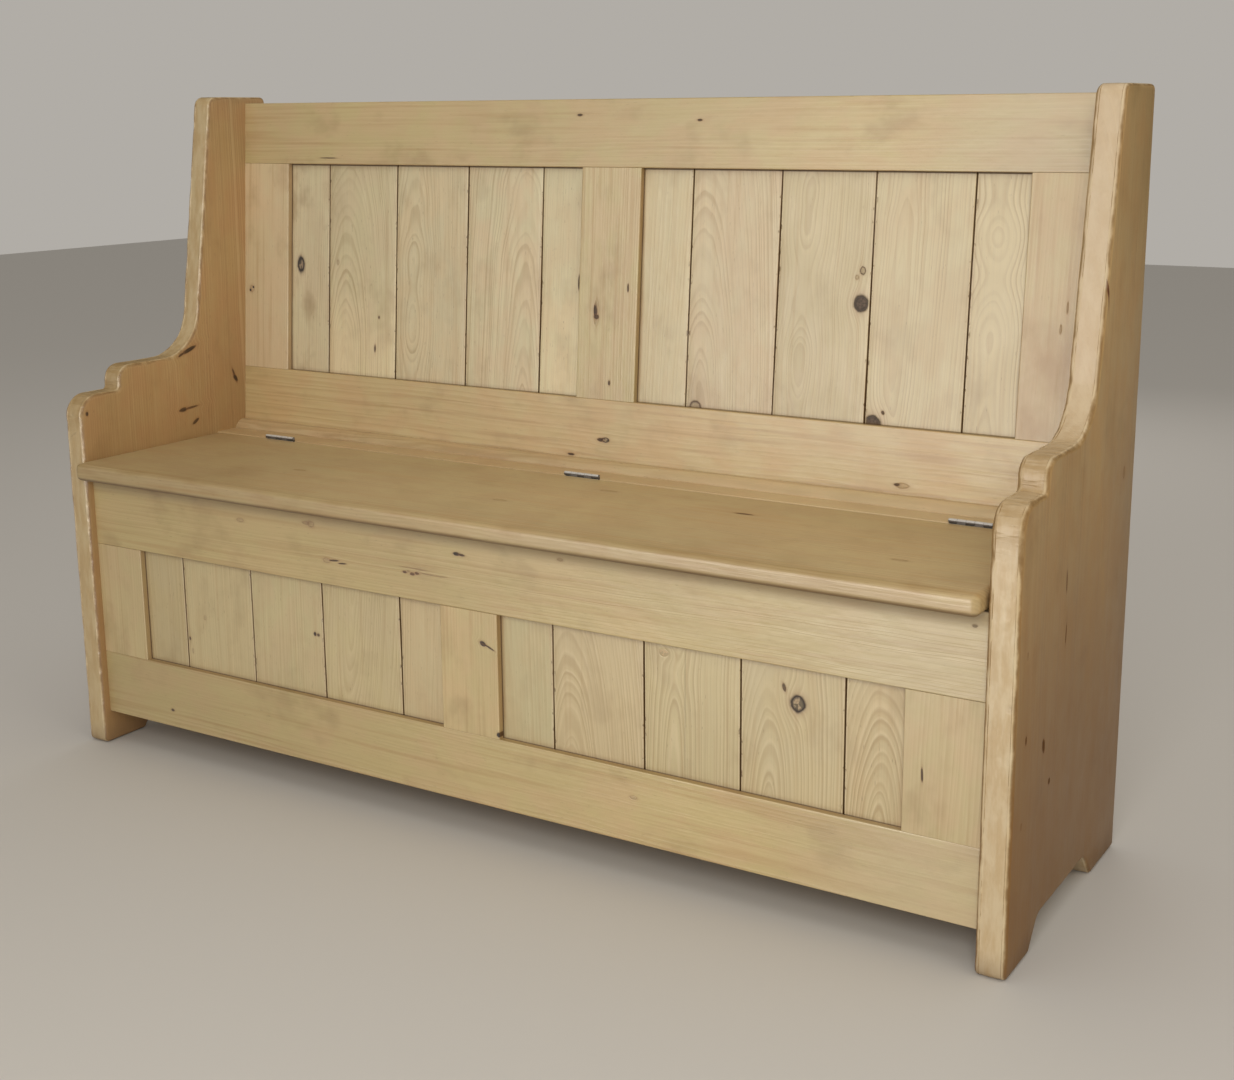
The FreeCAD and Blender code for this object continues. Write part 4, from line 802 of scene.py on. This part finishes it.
FRAME_PARTS = {
    "front_top_rail": ("front_h", [322.3],
                       dict(pith=(470, 90), tilt=(0.0, 0.010), spacing=4.0, contrast=0.26,
                            knots=[(405.9, -273.5, 4.0, 5.0, 0, "faint", 0.5, 2.5),
                                   (406.6, -283.0, 2.0, 7.0, 0, "thread", 0.3, 1.0),
                                   (358.9, -233.5, 1.3, 9.0, -5, "crack", 0.3, 0.8),
                                   (356.6, -218.5, 1.1, 7.5, -4, "crack", 0.3, 0.8),
                                   (357.5, -247.0, 3.0, 6.0, 0, "faint", 0.4, 1.0),
                                   (396.7, -19.5, 2.2, 5.0, 0, "black", 0.4, 1.5),
                                   (396.2, -10.5, 1.4, 5.0, 4, "crack", 0.3, 0.8),
                                   (359.8, -108.0, 1.7, 3.6, 0, "rust"),
                                   (361.4, -101.5, 1.2, 2.6, 0, "thread"),
                                   (359.0, -95.0, 2.0, 4.2, 0, "rust"),
                                   (360.4, -87.0, 1.4, 3.8, 0, "rust"),
                                   (361.6, -60.0, 0.9, 24.0, 0.5, "thread", 0.0, 0.4),
                                   (366.4, -92.0, 1.0, 24.0, 0, "thread", 0.0, 0.0),
                                   (409.1, 694.6, 1.8, 3, 0, "pin"),
                                   (395.7, -408.6, 2.6, 6, 0, "faint"),
                                   (410.5, 145.4, 1.8, 4, 0, "faint")])),
    "front_bottom_rail": ("front_h", [149.5],
                          dict(pith=(-20, 120), tilt=(0.0, 0.008), spacing=4.0,
                               contrast=0.24,
                               knots=[(77.2, -572.7, 2.0, 3.2, 0, "pin"),
                                      (112.0, 252.0, 2.2, 5.0, 0, "faint")])),
    "front_left_stile": ("front_v", [-620.5],
                         dict(pith=(-860, 120), tilt=(0.02, 0.02), spacing=4.4,
                              contrast=0.20)),
    "front_muntin": ("front_v", [-50.5, 43.5],
                     dict(pith=(-210, 90), tilt=(0.02, 0.02), spacing=4.2, contrast=0.26,
                          knots=[(20.0, 279.2, 4.5, 3.0, -20, "black", 0.4, 2.0),
                                 (29.5, 275.4, 9.5, 1.3, -20, "crack", 0.3, 1.0),
                                 (42.6, 155.7, 3.0, 3.0, 0, "black", 0.3, 1.0)])),
    "front_right_stile": ("front_v", [614.5],
                          dict(pith=(880, 120), tilt=(0.02, 0.02), spacing=4.4,
                               contrast=0.22,
                               knots=[(638.5, 223.1, 1.3, 9, 3, "crack", 0.3, 1.0)])),
    "back_top_rail": ("back_h", [433.1],
                      dict(pith=(620, 120), tilt=(0.0, 0.010), spacing=4.4, contrast=0.22,
                           knots=[(507.2, -55.9, 1.8, 4.5, 0, "crack", 0.4, 1.0),
                                  (499.2, 142.4, 1.6, 4, 0, "crack", 0.4, 1.0),
                                  (442.9, -532.0, 0.8, 17.0, 0, "crack", 0.0, 0.4)])),
    "back_bottom_rail": ("back_h", [99.4],
                         dict(pith=(-40, 60), tilt=(0.0, 0.012), spacing=6.5, contrast=0.26,
                              wobble=1.6,
                              knots=[(40.2, 4.0, 3.2, 5.5, 0, "ringed", 0.5, 2.5),
                                     (40.0, -5.0, 2.0, 5.0, 0, "crack", 0.4, 1.0),
                                     (13.9, -55.3, 1.8, 6, 0, "crack", 0.4, 1.0),
                                     (22.7, 469.6, 3.4, 9, 0, "faint", 0.4, 1.2),
                                     (23.4, 462.0, 1.2, 4.0, 0, "pin", 0.4, 1.0)])),
    "back_left_stile": ("back_v", [-617.4],
                        dict(pith=(-900, 120), tilt=(0.02, 0.02), spacing=4.4,
                             contrast=0.20,
                             knots=[(-697.6, 228.4, 4.2, 5.0, 0, "faint", 0.4, 1.5),
                                    (-695.4, 231.0, 1.2, 1.6, 0, "black"),
                                    (-699.9, 225.9, 1.4, 1.8, 0, "black")])),
    "back_muntin": ("back_v", [-49.4, 50.5],
                    dict(pith=(-170, 80), tilt=(0.02, 0.03), spacing=4.2, contrast=0.34,
                         knots=[(-18.6, 225.0, 4.5, 19.0, 0, "flame", 0.5, 3.0, 1.8),
                                (-19.4, 228.0, 1.8, 9.0, 2, "crack", 0.3, 1.0),
                                (-18.0, 219.0, 2.4, 3.0, 0, "pin", 0.3, 1.0),
                                (34.6, 263.3, 1.4, 6.5, 0, "crack", 0.3, 1.0),
                                (7.4, 124.4, 1.8, 3.4, 0, "pin")])),
    "back_right_stile": ("back_v", [617.6],
                         dict(pith=(900, 120), tilt=(0.02, 0.02), spacing=4.4,
                              contrast=0.24,
                              knots=[(667.6, 241.6, 1.2, 6, 0, "thread", 0.3, 1.0),
                                     (674.4, 268.7, 1.0, 7, 0, "thread", 0.3, 1.0)])),
}
# rails painted greyer towards the right end: a painted sheen
PAINTED_SHEEN_GREY = {"back_top_rail": (190, 178, 157), "front_top_rail": (206, 194, 164),
        "front_bottom_rail": (204, 192, 166)}
FRAME_COLOURS = {
    "back_bottom_rail": ((207, 184, 132), (207, 178, 126)),
    "back_top_rail": ((199, 179, 127), (202, 176, 128)),
    "front_top_rail": ((198, 178, 125), (200, 175, 124)),
    "front_bottom_rail": ((199, 178, 125), (201, 175, 125)),
    "back_left_stile": ((215, 196, 154), (216, 192, 152)),
    "back_muntin": ((204, 186, 138), (206, 184, 140)),
    "front_muntin": ((204, 182, 132), (206, 180, 132)),
}
for k, (name, (axes, edges, spec)) in enumerate(FRAME_PARTS.items()):
    rng = random.Random(300 + k)
    low_rail = name == "back_bottom_rail"
    light, other = FRAME_COLOURS.get(name, ((201, 182, 134), (203, 179, 134)))
    dress(nodes[name], wood(
        name, axes, seed=20.0 + k * 0.61,
        light=tint(rng, light, 1), other=tint(rng, other, 1),
        late=(162, 124, 72) if low_rail else (166, 134, 86), tone=0.10,
        paint=frame_paint(edges, lid_shadow_at=428.0 if name == "front_top_rail" else None,
                          lean=0.12 if name == "front_bottom_rail" else 0.0,
                          drift=(60.0, 200.0, 300.0) if name == "back_right_stile"
                          else None, sheen_grey=PAINTED_SHEEN_GREY.get(name)),
        rough=0.43, streak=0.55 if low_rail else 0.40, soil=0.40, fleck=0.3, fibre=0.11,
        **spec))


# ------------------------------------------------------------------ end panels
# The outline in depth and height, in millimetres from the front edge and the feet, each
# corner with its radius. The worn panel follows it a little inside the plain one, with
# arrises rubbed unevenly, and is cut to the plain panel, so its housings stay.
OUTLINE = [(0, 0, 9.0), (82, 0, 7.5), (112, 35, 22.0), (296, 35, 22.0), (326, 0, 7.5),
           (430, 0, 7.5), (430, 994, 9.0), (304.6, 994, 17.0), (241.2, 589, 78.0),
           (78, 589, 24.0), (78, 552.5, 5.0), (0, 552.5, 34.0)]
FRONT_Y, PANEL = -203.5, 37.5


def outline_points(step):
    """The rounded outline, walked in short steps, as points with outward normals."""
    n, line = len(OUTLINE), []
    for i in range(n):
        p = Vector(OUTLINE[i][:2])
        a = (Vector(OUTLINE[i - 1][:2]) - p).normalized()
        b = (Vector(OUTLINE[(i + 1) % n][:2]) - p).normalized()
        r = OUTLINE[i][2]
        half = math.acos(max(-1.0, min(1.0, a.dot(b)))) / 2
        mid = (a + b).normalized()
        centre = p + mid * (r / math.sin(half))
        t0, t1 = p + a * (r / math.tan(half)), p + b * (r / math.tan(half))
        turn = math.pi - 2 * half
        k = max(3, int(math.ceil(turn * r / min(step, 0.35 * r))))
        v0, v1 = t0 - centre, t1 - centre
        sign = 1.0 if v0.x * v1.y - v0.y * v1.x > 0 else -1.0
        for j in range(k + 1):
            q = sign * turn * j / k
            line.append(centre + Vector((v0.x * math.cos(q) - v0.y * math.sin(q),
                                         v0.x * math.sin(q) + v0.y * math.cos(q))))
    pts = []
    for i, a in enumerate(line):
        b = line[(i + 1) % len(line)]
        k = max(1, int(round((b - a).length / step)))
        pts += [a.lerp(b, j / k) for j in range(k)]
    out, run = [], 0.0
    for i, p in enumerate(pts):
        t = (pts[(i + 1) % len(pts)] - pts[i - 1]).normalized()
        out.append((p, Vector((t.y, -t.x)), run))
        run += (pts[(i + 1) % len(pts)] - p).length
    return out, run


def worn_panel(name, side, seed):
    """The end panel with arrises worn unevenly, most of all round the arm and cove."""
    pts, total = outline_points(4.0)
    arc = [math.radians(q) for q in (14, 28, 42, 56, 70, 83)]
    rows = []
    for p, out, run in pts:
        # wear repeats after one turn round the outline, so that it closes
        q = 2 * math.pi * run / total
        ring = Vector((math.cos(q), math.sin(q), 0.0)) * (total / (2 * math.pi))

        def rub(size, shift):
            return noise.noise(ring / size + Vector((seed * 5.3, shift, 2.7 * shift)))

        front = p.x < 330 and p.y > 20
        hands = 1.0 if front and 440 < p.y < 660 else 0.0
        use = 1.0 if hands else (0.75 if front and p.y >= 660 else (0.6 if front else 0.3))
        edge = 0.18 + (0.55 * use * (0.5 + 0.5 * rub(46.0, 1.0)) if p.y > 4 else 0.0)
        row = []
        ends = []
        for face in (0, 1):
            r = 5.7 + 1.2 * use * (0.5 + 0.5 * rub(52.0, 3.0 + face)) if p.y > 4 else 5.6
            part = [(r + 1.5, -0.25)]
            for k, th in enumerate(arc):
                dent = max(0.0, rub(24.0, 6.0 + face) + 0.1) * 1.5 * use
                dent += max(0.0, rub(9.0, 9.0 + face)) * (0.25 + 0.35 * hands) * use
                dent *= math.sin(2 * th) if p.y > 4 else 0.0
                part.append((r * (1 - math.sin(th)) + edge + 0.7 * dent,
                             r * (1 - math.cos(th)) + 0.7 * dent))
            ends.append((r, part))
        row += ends[0][1]
        a, b = ends[0][0], PANEL - ends[1][0]
        for k in range(9):
            f = k / 8
            ripple = rub(6.5, 12.0) * 0.34 * hands + rub(15.0, 14.0 + f) * 0.22 * use
            row.append((edge + 0.25 + 0.55 * abs(2 * f - 1) ** 3 - 0.25
                        + max(-edge * 0.5, ripple), a + (b - a) * f))
        row += [(o, PANEL - t) for o, t in reversed(ends[1][1])]
        rows.append([(side * (750.0 - t), FRONT_Y + p.x - out.x * o, p.y - out.y * o)
                     for o, t in row])
    n = len(rows[0])
    verts = [tuple(c / 1000.0 for c in v) for row in rows for v in row]
    faces = []
    for i in range(len(rows)):
        j = (i + 1) % len(rows)
        faces += [(i * n + k, i * n + k + 1, j * n + k + 1, j * n + k)
                  for k in range(n - 1)]
    faces.append(tuple(i * n for i in range(len(rows))))
    faces.append(tuple(i * n + n - 1 for i in reversed(range(len(rows)))))

    def solid(label, vs, fs):
        me = bpy.data.meshes.new(label)
        me.from_pydata(vs, [], fs)
        bm = bmesh.new()
        bm.from_mesh(me)
        bmesh.ops.remove_doubles(bm, verts=bm.verts, dist=1e-6)
        bmesh.ops.recalc_face_normals(bm, faces=bm.faces)
        bm.to_mesh(me)
        bm.free()
        ob = bpy.data.objects.new(label, me)
        bpy.context.scene.collection.objects.link(ob)
        return ob

    plain = nodes[name].data
    cut = solid(name + "_cut", verts, faces)
    whole = solid(name + "_whole", [tuple(v.co) for v in plain.vertices],
                  [tuple(f.vertices) for f in plain.polygons])
    mod = whole.modifiers.new("worn", "BOOLEAN")
    mod.operation, mod.solver, mod.object = "INTERSECT", "EXACT", cut
    dg = bpy.context.evaluated_depsgraph_get()
    me = bpy.data.meshes.new_from_object(whole.evaluated_get(dg))
    me.name = name + "_worn"
    for ob in (whole, cut):
        bpy.data.objects.remove(ob)
    me.materials.clear()
    for f in me.polygons:
        f.use_smooth = abs(f.normal.x) < 0.9995
    me.set_sharp_from_angle(angle=math.radians(38))
    me.update()
    ob = bpy.data.objects.new(name + "_worn", me)
    bpy.context.scene.collection.objects.link(ob)
    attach(ob, "frame")
    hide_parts(name)
    return ob


def end_paint(deep, pale_a, pale_b, low_shade_strength, high=None):
    def paint(g, x, y, z, col, height, gloss, p):
        # the edges, cleaned and rubbed more than the faces
        geo = g.new("ShaderNodeNewGeometry")
        n = g.math("ABSOLUTE", g.sep(S(g, geo.outputs["Normal"]))[0])
        # the wear moves the border between face and edge about on the rounded arris
        wear = g.noise(g.comb(x * 0.05, y * 0.05, z * 0.032), detail=3.0, rough=0.62)
        m = n + (wear - 0.5) * 0.40 * g.smooth(n, 0.10, 0.35) * g.fall(n, 0.94, 0.995)
        edge = g.fall(m, 0.30, 0.88)
        # the faces painted darker towards the bottom: painted shade
        low = g.fall(z, 80.0, 820.0) * (1.0 - edge)
        col = g.mixc(low * low_shade_strength, col, lin(deep))
        mottle = g.noise(g.comb(x * 0.09, y * 0.09, z * 0.022), detail=3.0, rough=0.6)
        pale = g.mixc(g.smooth(mottle, 0.34, 0.68), lin(pale_a), lin(pale_b))
        if high:
            pale = g.mixc(g.smooth(z, 400.0, 700.0) * 0.62, pale, lin(high))
        col = g.mixc(edge * 0.80, col, pale)
        # end grain where the shape turns: brown ripples across the edge
        rip = g.noise(g.comb(x * 0.11, y * 0.02, z * 0.15), detail=2.0, rough=0.6)
        cove = g.smooth(z, 478.0, 540.0) * g.fall(z, 596.0, 668.0) * g.fall(n, 0.6, 0.95)
        cove = cove * g.fall(x, -70.0, 70.0)
        col = g.mixc(cove * (0.34 + g.smooth(rip, 0.40, 0.66) * 0.30), col,
                     lin((160, 128, 78)))
        height = height - cove * g.smooth(rip, 0.44, 0.60) * 0.5
        # the rounded arrises: a thin brown line that comes and goes, small dents, and a pale rubbed
        # band that is wear and a painted highlight
        arris = g.smooth(n, 0.18, 0.42) * g.fall(n, 0.72, 0.97)
        line = g.smooth(m, 0.40, 0.66) * g.fall(m, 0.78, 0.97)
        col = g.mixc(line * g.smooth(wear, 0.30, 0.60) * 0.55, col, lin((122, 88, 46)))
        rub = g.smooth(n, 0.10, 0.30) * g.fall(n, 0.40, 0.60) * g.fall(wear, 0.42, 0.58)
        col = g.mixc(rub * 0.34, col, lin((228, 210, 172)))
        dents = g.noise(g.comb(x * 0.075, y * 0.075, z * 0.05), detail=2.0)
        height = height + (dents - 0.5) * (arris * 2.6 + edge * 1.0)
        # feet soiled low down
        foot = g.fall(z, 2.0, 40.0) * (p["Patch"] + 0.3)
        col = g.mixc(g.math("MULTIPLY", foot, 0.5, clamp=True), col, lin((112, 82, 52)))
        return col, height, gloss + foot * 0.1 - edge * 0.02
    return paint


END = dict(late=(142, 106, 62), tone=0.12, skin=3.0, rough=0.42, streak=0.35, soil=0.40, fibre=0.12)
dress(worn_panel("end_panel_right", 1.0, 1.0), wood(
    "end_panel_right", "end_r", pith=(-210, 130), tilt=(0.02, 0.02), spacing=4.6,
    light=(193, 163, 113), other=(193, 158, 107),
    paint=end_paint((119, 74, 8), (206, 182, 143), (222, 204, 170), 0.75,
                    (213, 194, 168)),
    shine=0.4, seed=31.3, contrast=0.24, knots=[
        (-101.3, 250.3, 4.0, 8.0, 12, "black", 0.5, 4.0),
        (-73.7, 197.8, 3.0, 3.6, 0, "black", 0.5, 3.0),
        (-166.3, 278.1, 2.6, 5.0, 0, "pin", 0.5, 2.0),
        (-172.7, 378.8, 2.4, 4.0, 0, "faint"), (-170.4, 177.3, 2.6, 4.0, 0, "faint"),
        (177.6, 519.9, 4, 7, 0, "faint"), (-41.3, 430.7, 1.5, 14, 3, "crack", 0.3, 1.0),
        (-35.1, 366.4, 1.5, 13, -3, "crack", 0.3, 1.0),
        (66.0, 767.8, 1.7, 33.0, 10.6, "slit", 0.2, 0.6)], spots=[
        ("yz", 9.0, 325.0, 4.5, 5.5, 0, (150, 112, 74), 0.6, -195.0),
        ("yz", 8.0, 326.0, 1.6, 2.0, 0, (84, 54, 34), 0.8, -195.0)], **END))
dress(worn_panel("end_panel_left", -1.0, 2.0), wood(
    "end_panel_left", "end_l", pith=(260, 110), tilt=(0.02, -0.02), spacing=4.6,
    light=(182, 151, 104), other=(182, 145, 100),
    paint=end_paint((160, 120, 74), (196, 170, 124), (210, 190, 148), 0.6),
    shine=0.7, seed=33.9, contrast=0.28, knots=[
        (22.0, 596.0, 14.0, 2.9, 18.0, "black", 0.3, 1.2),
        (8.0, 590.0, 6.0, 1.8, 24, "crack", 0.3, 1.0),
        (18.8, 502.6, 16.0, 1.8, 4.5, "crack", 0.3, 1.0),
        (5.0, 501.4, 6.0, 3.0, 4.5, "black", 0.3, 1.0),
        (27.7, 478.9, 7.0, 2.4, 29, "black", 0.3, 1.0),
        (119.9, 542.1, 13.0, 2.4, -69, "crack", 0.3, 1.0),
        (121.6, 537.0, 5.5, 2.6, -62, "black", 0.3, 1.0),
        (-192.0, 524.5, 2.2, 3.0, 0, "black")], spots=[
        ("yz", 20.0, 523.0, 1.8, 2.2, 0, (56, 34, 20), 0.9, -195.0),
        ("yz", 31.5, 481.0, 7.0, 1.1, -65, (84, 50, 28), 0.8, -195.0),
        ("yz", 21.0, 492.5, 9.0, 1.1, -32, (84, 50, 28), 0.8, -195.0)], **END))


# ------------------------------------------------------------------- the seat
def lid_paint(g, x, y, z, col, height, gloss, p):
    # painted lighter towards the middle and the right, a painted light gradient, and handled brown
    # along the nose
    col = g.vmath("SCALE", col, scale=1.0 + g.smooth(z, -560.0, -120.0) * 0.11)
    nose = g.fall(x, -219.0, -206.0)
    hand = g.noise(g.comb(x * 0.03, y * 0.06, z * 0.012), detail=3.0, rough=0.55)
    col = g.mixc(nose * g.smooth(hand, 0.46, 0.72) * 0.34, col, lin((150, 114, 62)))
    col = g.mixc(nose * 0.16, col, lin((168, 138, 84)))
    col = g.mixc(nose * g.smooth(z, 160.0, 340.0) * g.fall(z, 520.0, 700.0) * 0.26, col,
                 lin((150, 118, 60)))
    # the lower arris of the nose darkened: dirt and painted shade
    grime_and_shade = nose * g.smooth(y, 18.5, 23.5) * g.fall(y, 25.4, 26.2)
    col = g.mixc(grime_and_shade * 0.66, col, lin((92, 64, 26)))
    under = g.smooth(y, 25.4, 26.0)
    col = g.mixc(under * 0.3, col, lin((158, 134, 98)))
    return col, height, gloss + under * 0.2 + grime_and_shade * 0.3


SEAT = dict(light=(184, 163, 118), other=(182, 157, 114), late=(144, 116, 72))
dress(nodes["seat_lid"], wood(
    "seat_lid", "flat", pith=(-330, 150), tilt=(0.012, 0.006), spacing=4.6, wobble=1.3,
    seed=41.7, contrast=0.30, rough=0.42, paint=lid_paint, tone=0.12, streak=0.40,
    soil=0.34, knots=[
        (-13.8, 315.3, 3.2, 13, 0, "slash"), (14.5, 90.4, 3.6, 12, 0, "faint"),
        (-127.2, 578.9, 3.6, 9, 0, "faint"), (-91.4, -380.1, 3.6, 10, 0, "faint"),
        (-105.3, -8.1, 3.6, 10, 0, "faint")], **SEAT))


def ledge_paint(g, x, y, z, col, height, gloss, p):
    # lighter towards the right: a painted sheen
    right_sheen = g.smooth(z, -200.0, 600.0)
    col = g.vmath("SCALE", col, scale=1.0 + right_sheen * 0.12)
    return g.mixc(right_sheen * 0.36, col, lin((216, 199, 160))), height, gloss


dress(nodes["hinge_ledge"], wood(
    "hinge_ledge", "flat", pith=(160, 60), tilt=(0.0, 0.01), spacing=3.4, seed=43.3,
    contrast=0.35, light=(198, 173, 128), other=(198, 168, 124), late=(152, 118, 74),
    paint=ledge_paint))
dress(nodes["ledge_bead"], wood(
    "ledge_bead", "flat", pith=(170, 30), tilt=(0.0, 0.01), spacing=2.8, seed=44.9,
    contrast=0.40, light=(198, 173, 128), other=(200, 170, 126), late=(148, 114, 70),
    paint=ledge_paint))

# ------------------------------------------------- what only shows from inside
HIDDEN = {
    "box_floor_board_front": ("flat", (-90, 420)), "box_floor_board_rear": ("flat", (70, 440)),
    "lower_back_board_lower": ("low", (150, 70)), "lower_back_board_upper": ("low", (330, 80)),
    "floor_bearer_middle": ("cross", (10, 400)), "lid_batten_left": ("cross", (-430, 60)),
    "lid_batten_right": ("cross", (430, 60)), "seat_cleat_left": ("side", (420, -660)),
    "seat_cleat_right": ("side", (420, 660)), "floor_cleat_left": ("side", (60, -660)),
    "floor_cleat_right": ("side", (60, 660)),
}
for k, (name, (axes, pith)) in enumerate(HIDDEN.items()):
    rng = random.Random(500 + k)
    dress(nodes[name], wood(
        name, axes, pith=pith, spacing=3.2, seed=50.0 + k * 0.71, contrast=0.55,
        light=tint(rng, (190, 162, 118), 5), other=tint(rng, (186, 152, 112), 5),
        late=(150, 108, 64), rough=0.62, sawn=0.8, fleck=0.8))

# --------------------------------------------------------- hinges and screws
steel = metal("hinge_steel_worn", (226, 224, 219), 0.46, (60, 900, 900), 1.7, rust=0.3,
              metallic=0.25, grime_and_shade=(66, 56, 48))
pins = metal("hinge_pin_steel", (178, 178, 180), 0.42, (60, 900, 900), 4.1, rust=0.4)
screws = metal("screw_steel_dull", (120, 116, 110), 0.46, (700, 700, 700), 7.3, rust=0.7)
for n, o in nodes.items():
    if n.startswith("hinge_") and n.endswith("_leaf"):
        dress(o, steel)
    elif n.startswith("hinge_") and n.endswith("_pin"):
        dress(o, pins)
    elif n.endswith("_screws"):
        dress(o, screws)

# ------------------------------------------------------------ stage and light
floor_mesh = bpy.data.meshes.new("floor")
floor_mesh.from_pydata([(-9, -9, 0), (9, -9, 0), (9, 9, 0), (-9, 9, 0)], [],
                       [(0, 1, 2, 3)])
floor = bpy.data.objects.new("floor", floor_mesh)
floor.location.z = -0.0005
bpy.context.scene.collection.objects.link(floor)
fm = bpy.data.materials.new("floor_plain")
fm.use_nodes = True
fb = fm.node_tree.nodes["Principled BSDF"]
fb.inputs["Base Color"].default_value = lin((206, 203, 198))
fb.inputs["Roughness"].default_value = 0.85
floor.data.materials.append(fm)

world = bpy.data.worlds.new("studio")
world.use_nodes = True
bg = world.node_tree.nodes["Background"]
bg.inputs["Color"].default_value = lin((255, 249, 240))
bg.inputs["Strength"].default_value = 0.44
world.cycles_visibility.glossy = False
bpy.context.scene.world = world


def area(name, at, aim, size, size_y, power, colour, glossy=True):
    d = bpy.data.lights.new(name, "AREA")
    d.shape = "RECTANGLE"
    d.size, d.size_y = size, size_y
    d.energy = power
    d.color = lin(colour)[:3]
    o = bpy.data.objects.new(name, d)
    o.location = at
    o.rotation_mode = "QUATERNION"
    o.rotation_quaternion = (Vector(aim) - Vector(at)).to_track_quat("-Z", "Y")
    o.visible_glossy = glossy
    bpy.context.scene.collection.objects.link(o)
    return o


key = area("key", (1.35, -2.6, 1.7), (0.0, 0.0, 0.5), 1.4, 1.4, 38.0, (255, 252, 246))
key.visible_glossy = False
area("fill", (2.6, -0.8, 2.8), (0.6, 0.0, 0.9), 1.6, 1.6, 9.0, (255, 240, 216), False)
area("top", (0.2, -0.6, 3.2), (0.0, 0.0, 0.4), 2.6, 2.6, 8.0, (255, 250, 244))
area("rear", (-0.8, 3.0, 2.0), (0.0, 0.0, 0.5), 2.0, 2.0, 14.0, (255, 250, 244), False)
for name, at, wide, high, power in (("sheen_high", (-0.75, -3.1, 1.05), 2.6, 1.5, 42.0),
                                    ("sheen_low", (-0.05, -1.7, 0.28), 1.1, 0.5, 10.5)):
    sheen = area(name, at, (at[0], 0.0, at[2]), wide, high, power, (255, 252, 250))
    sheen.visible_diffuse = False
    sheen.visible_camera = False

scene = bpy.context.scene
scene.view_settings.view_transform = "Standard"
scene.view_settings.look = "None"
scene.view_settings.exposure = 0.0
scene.view_settings.gamma = 1.0
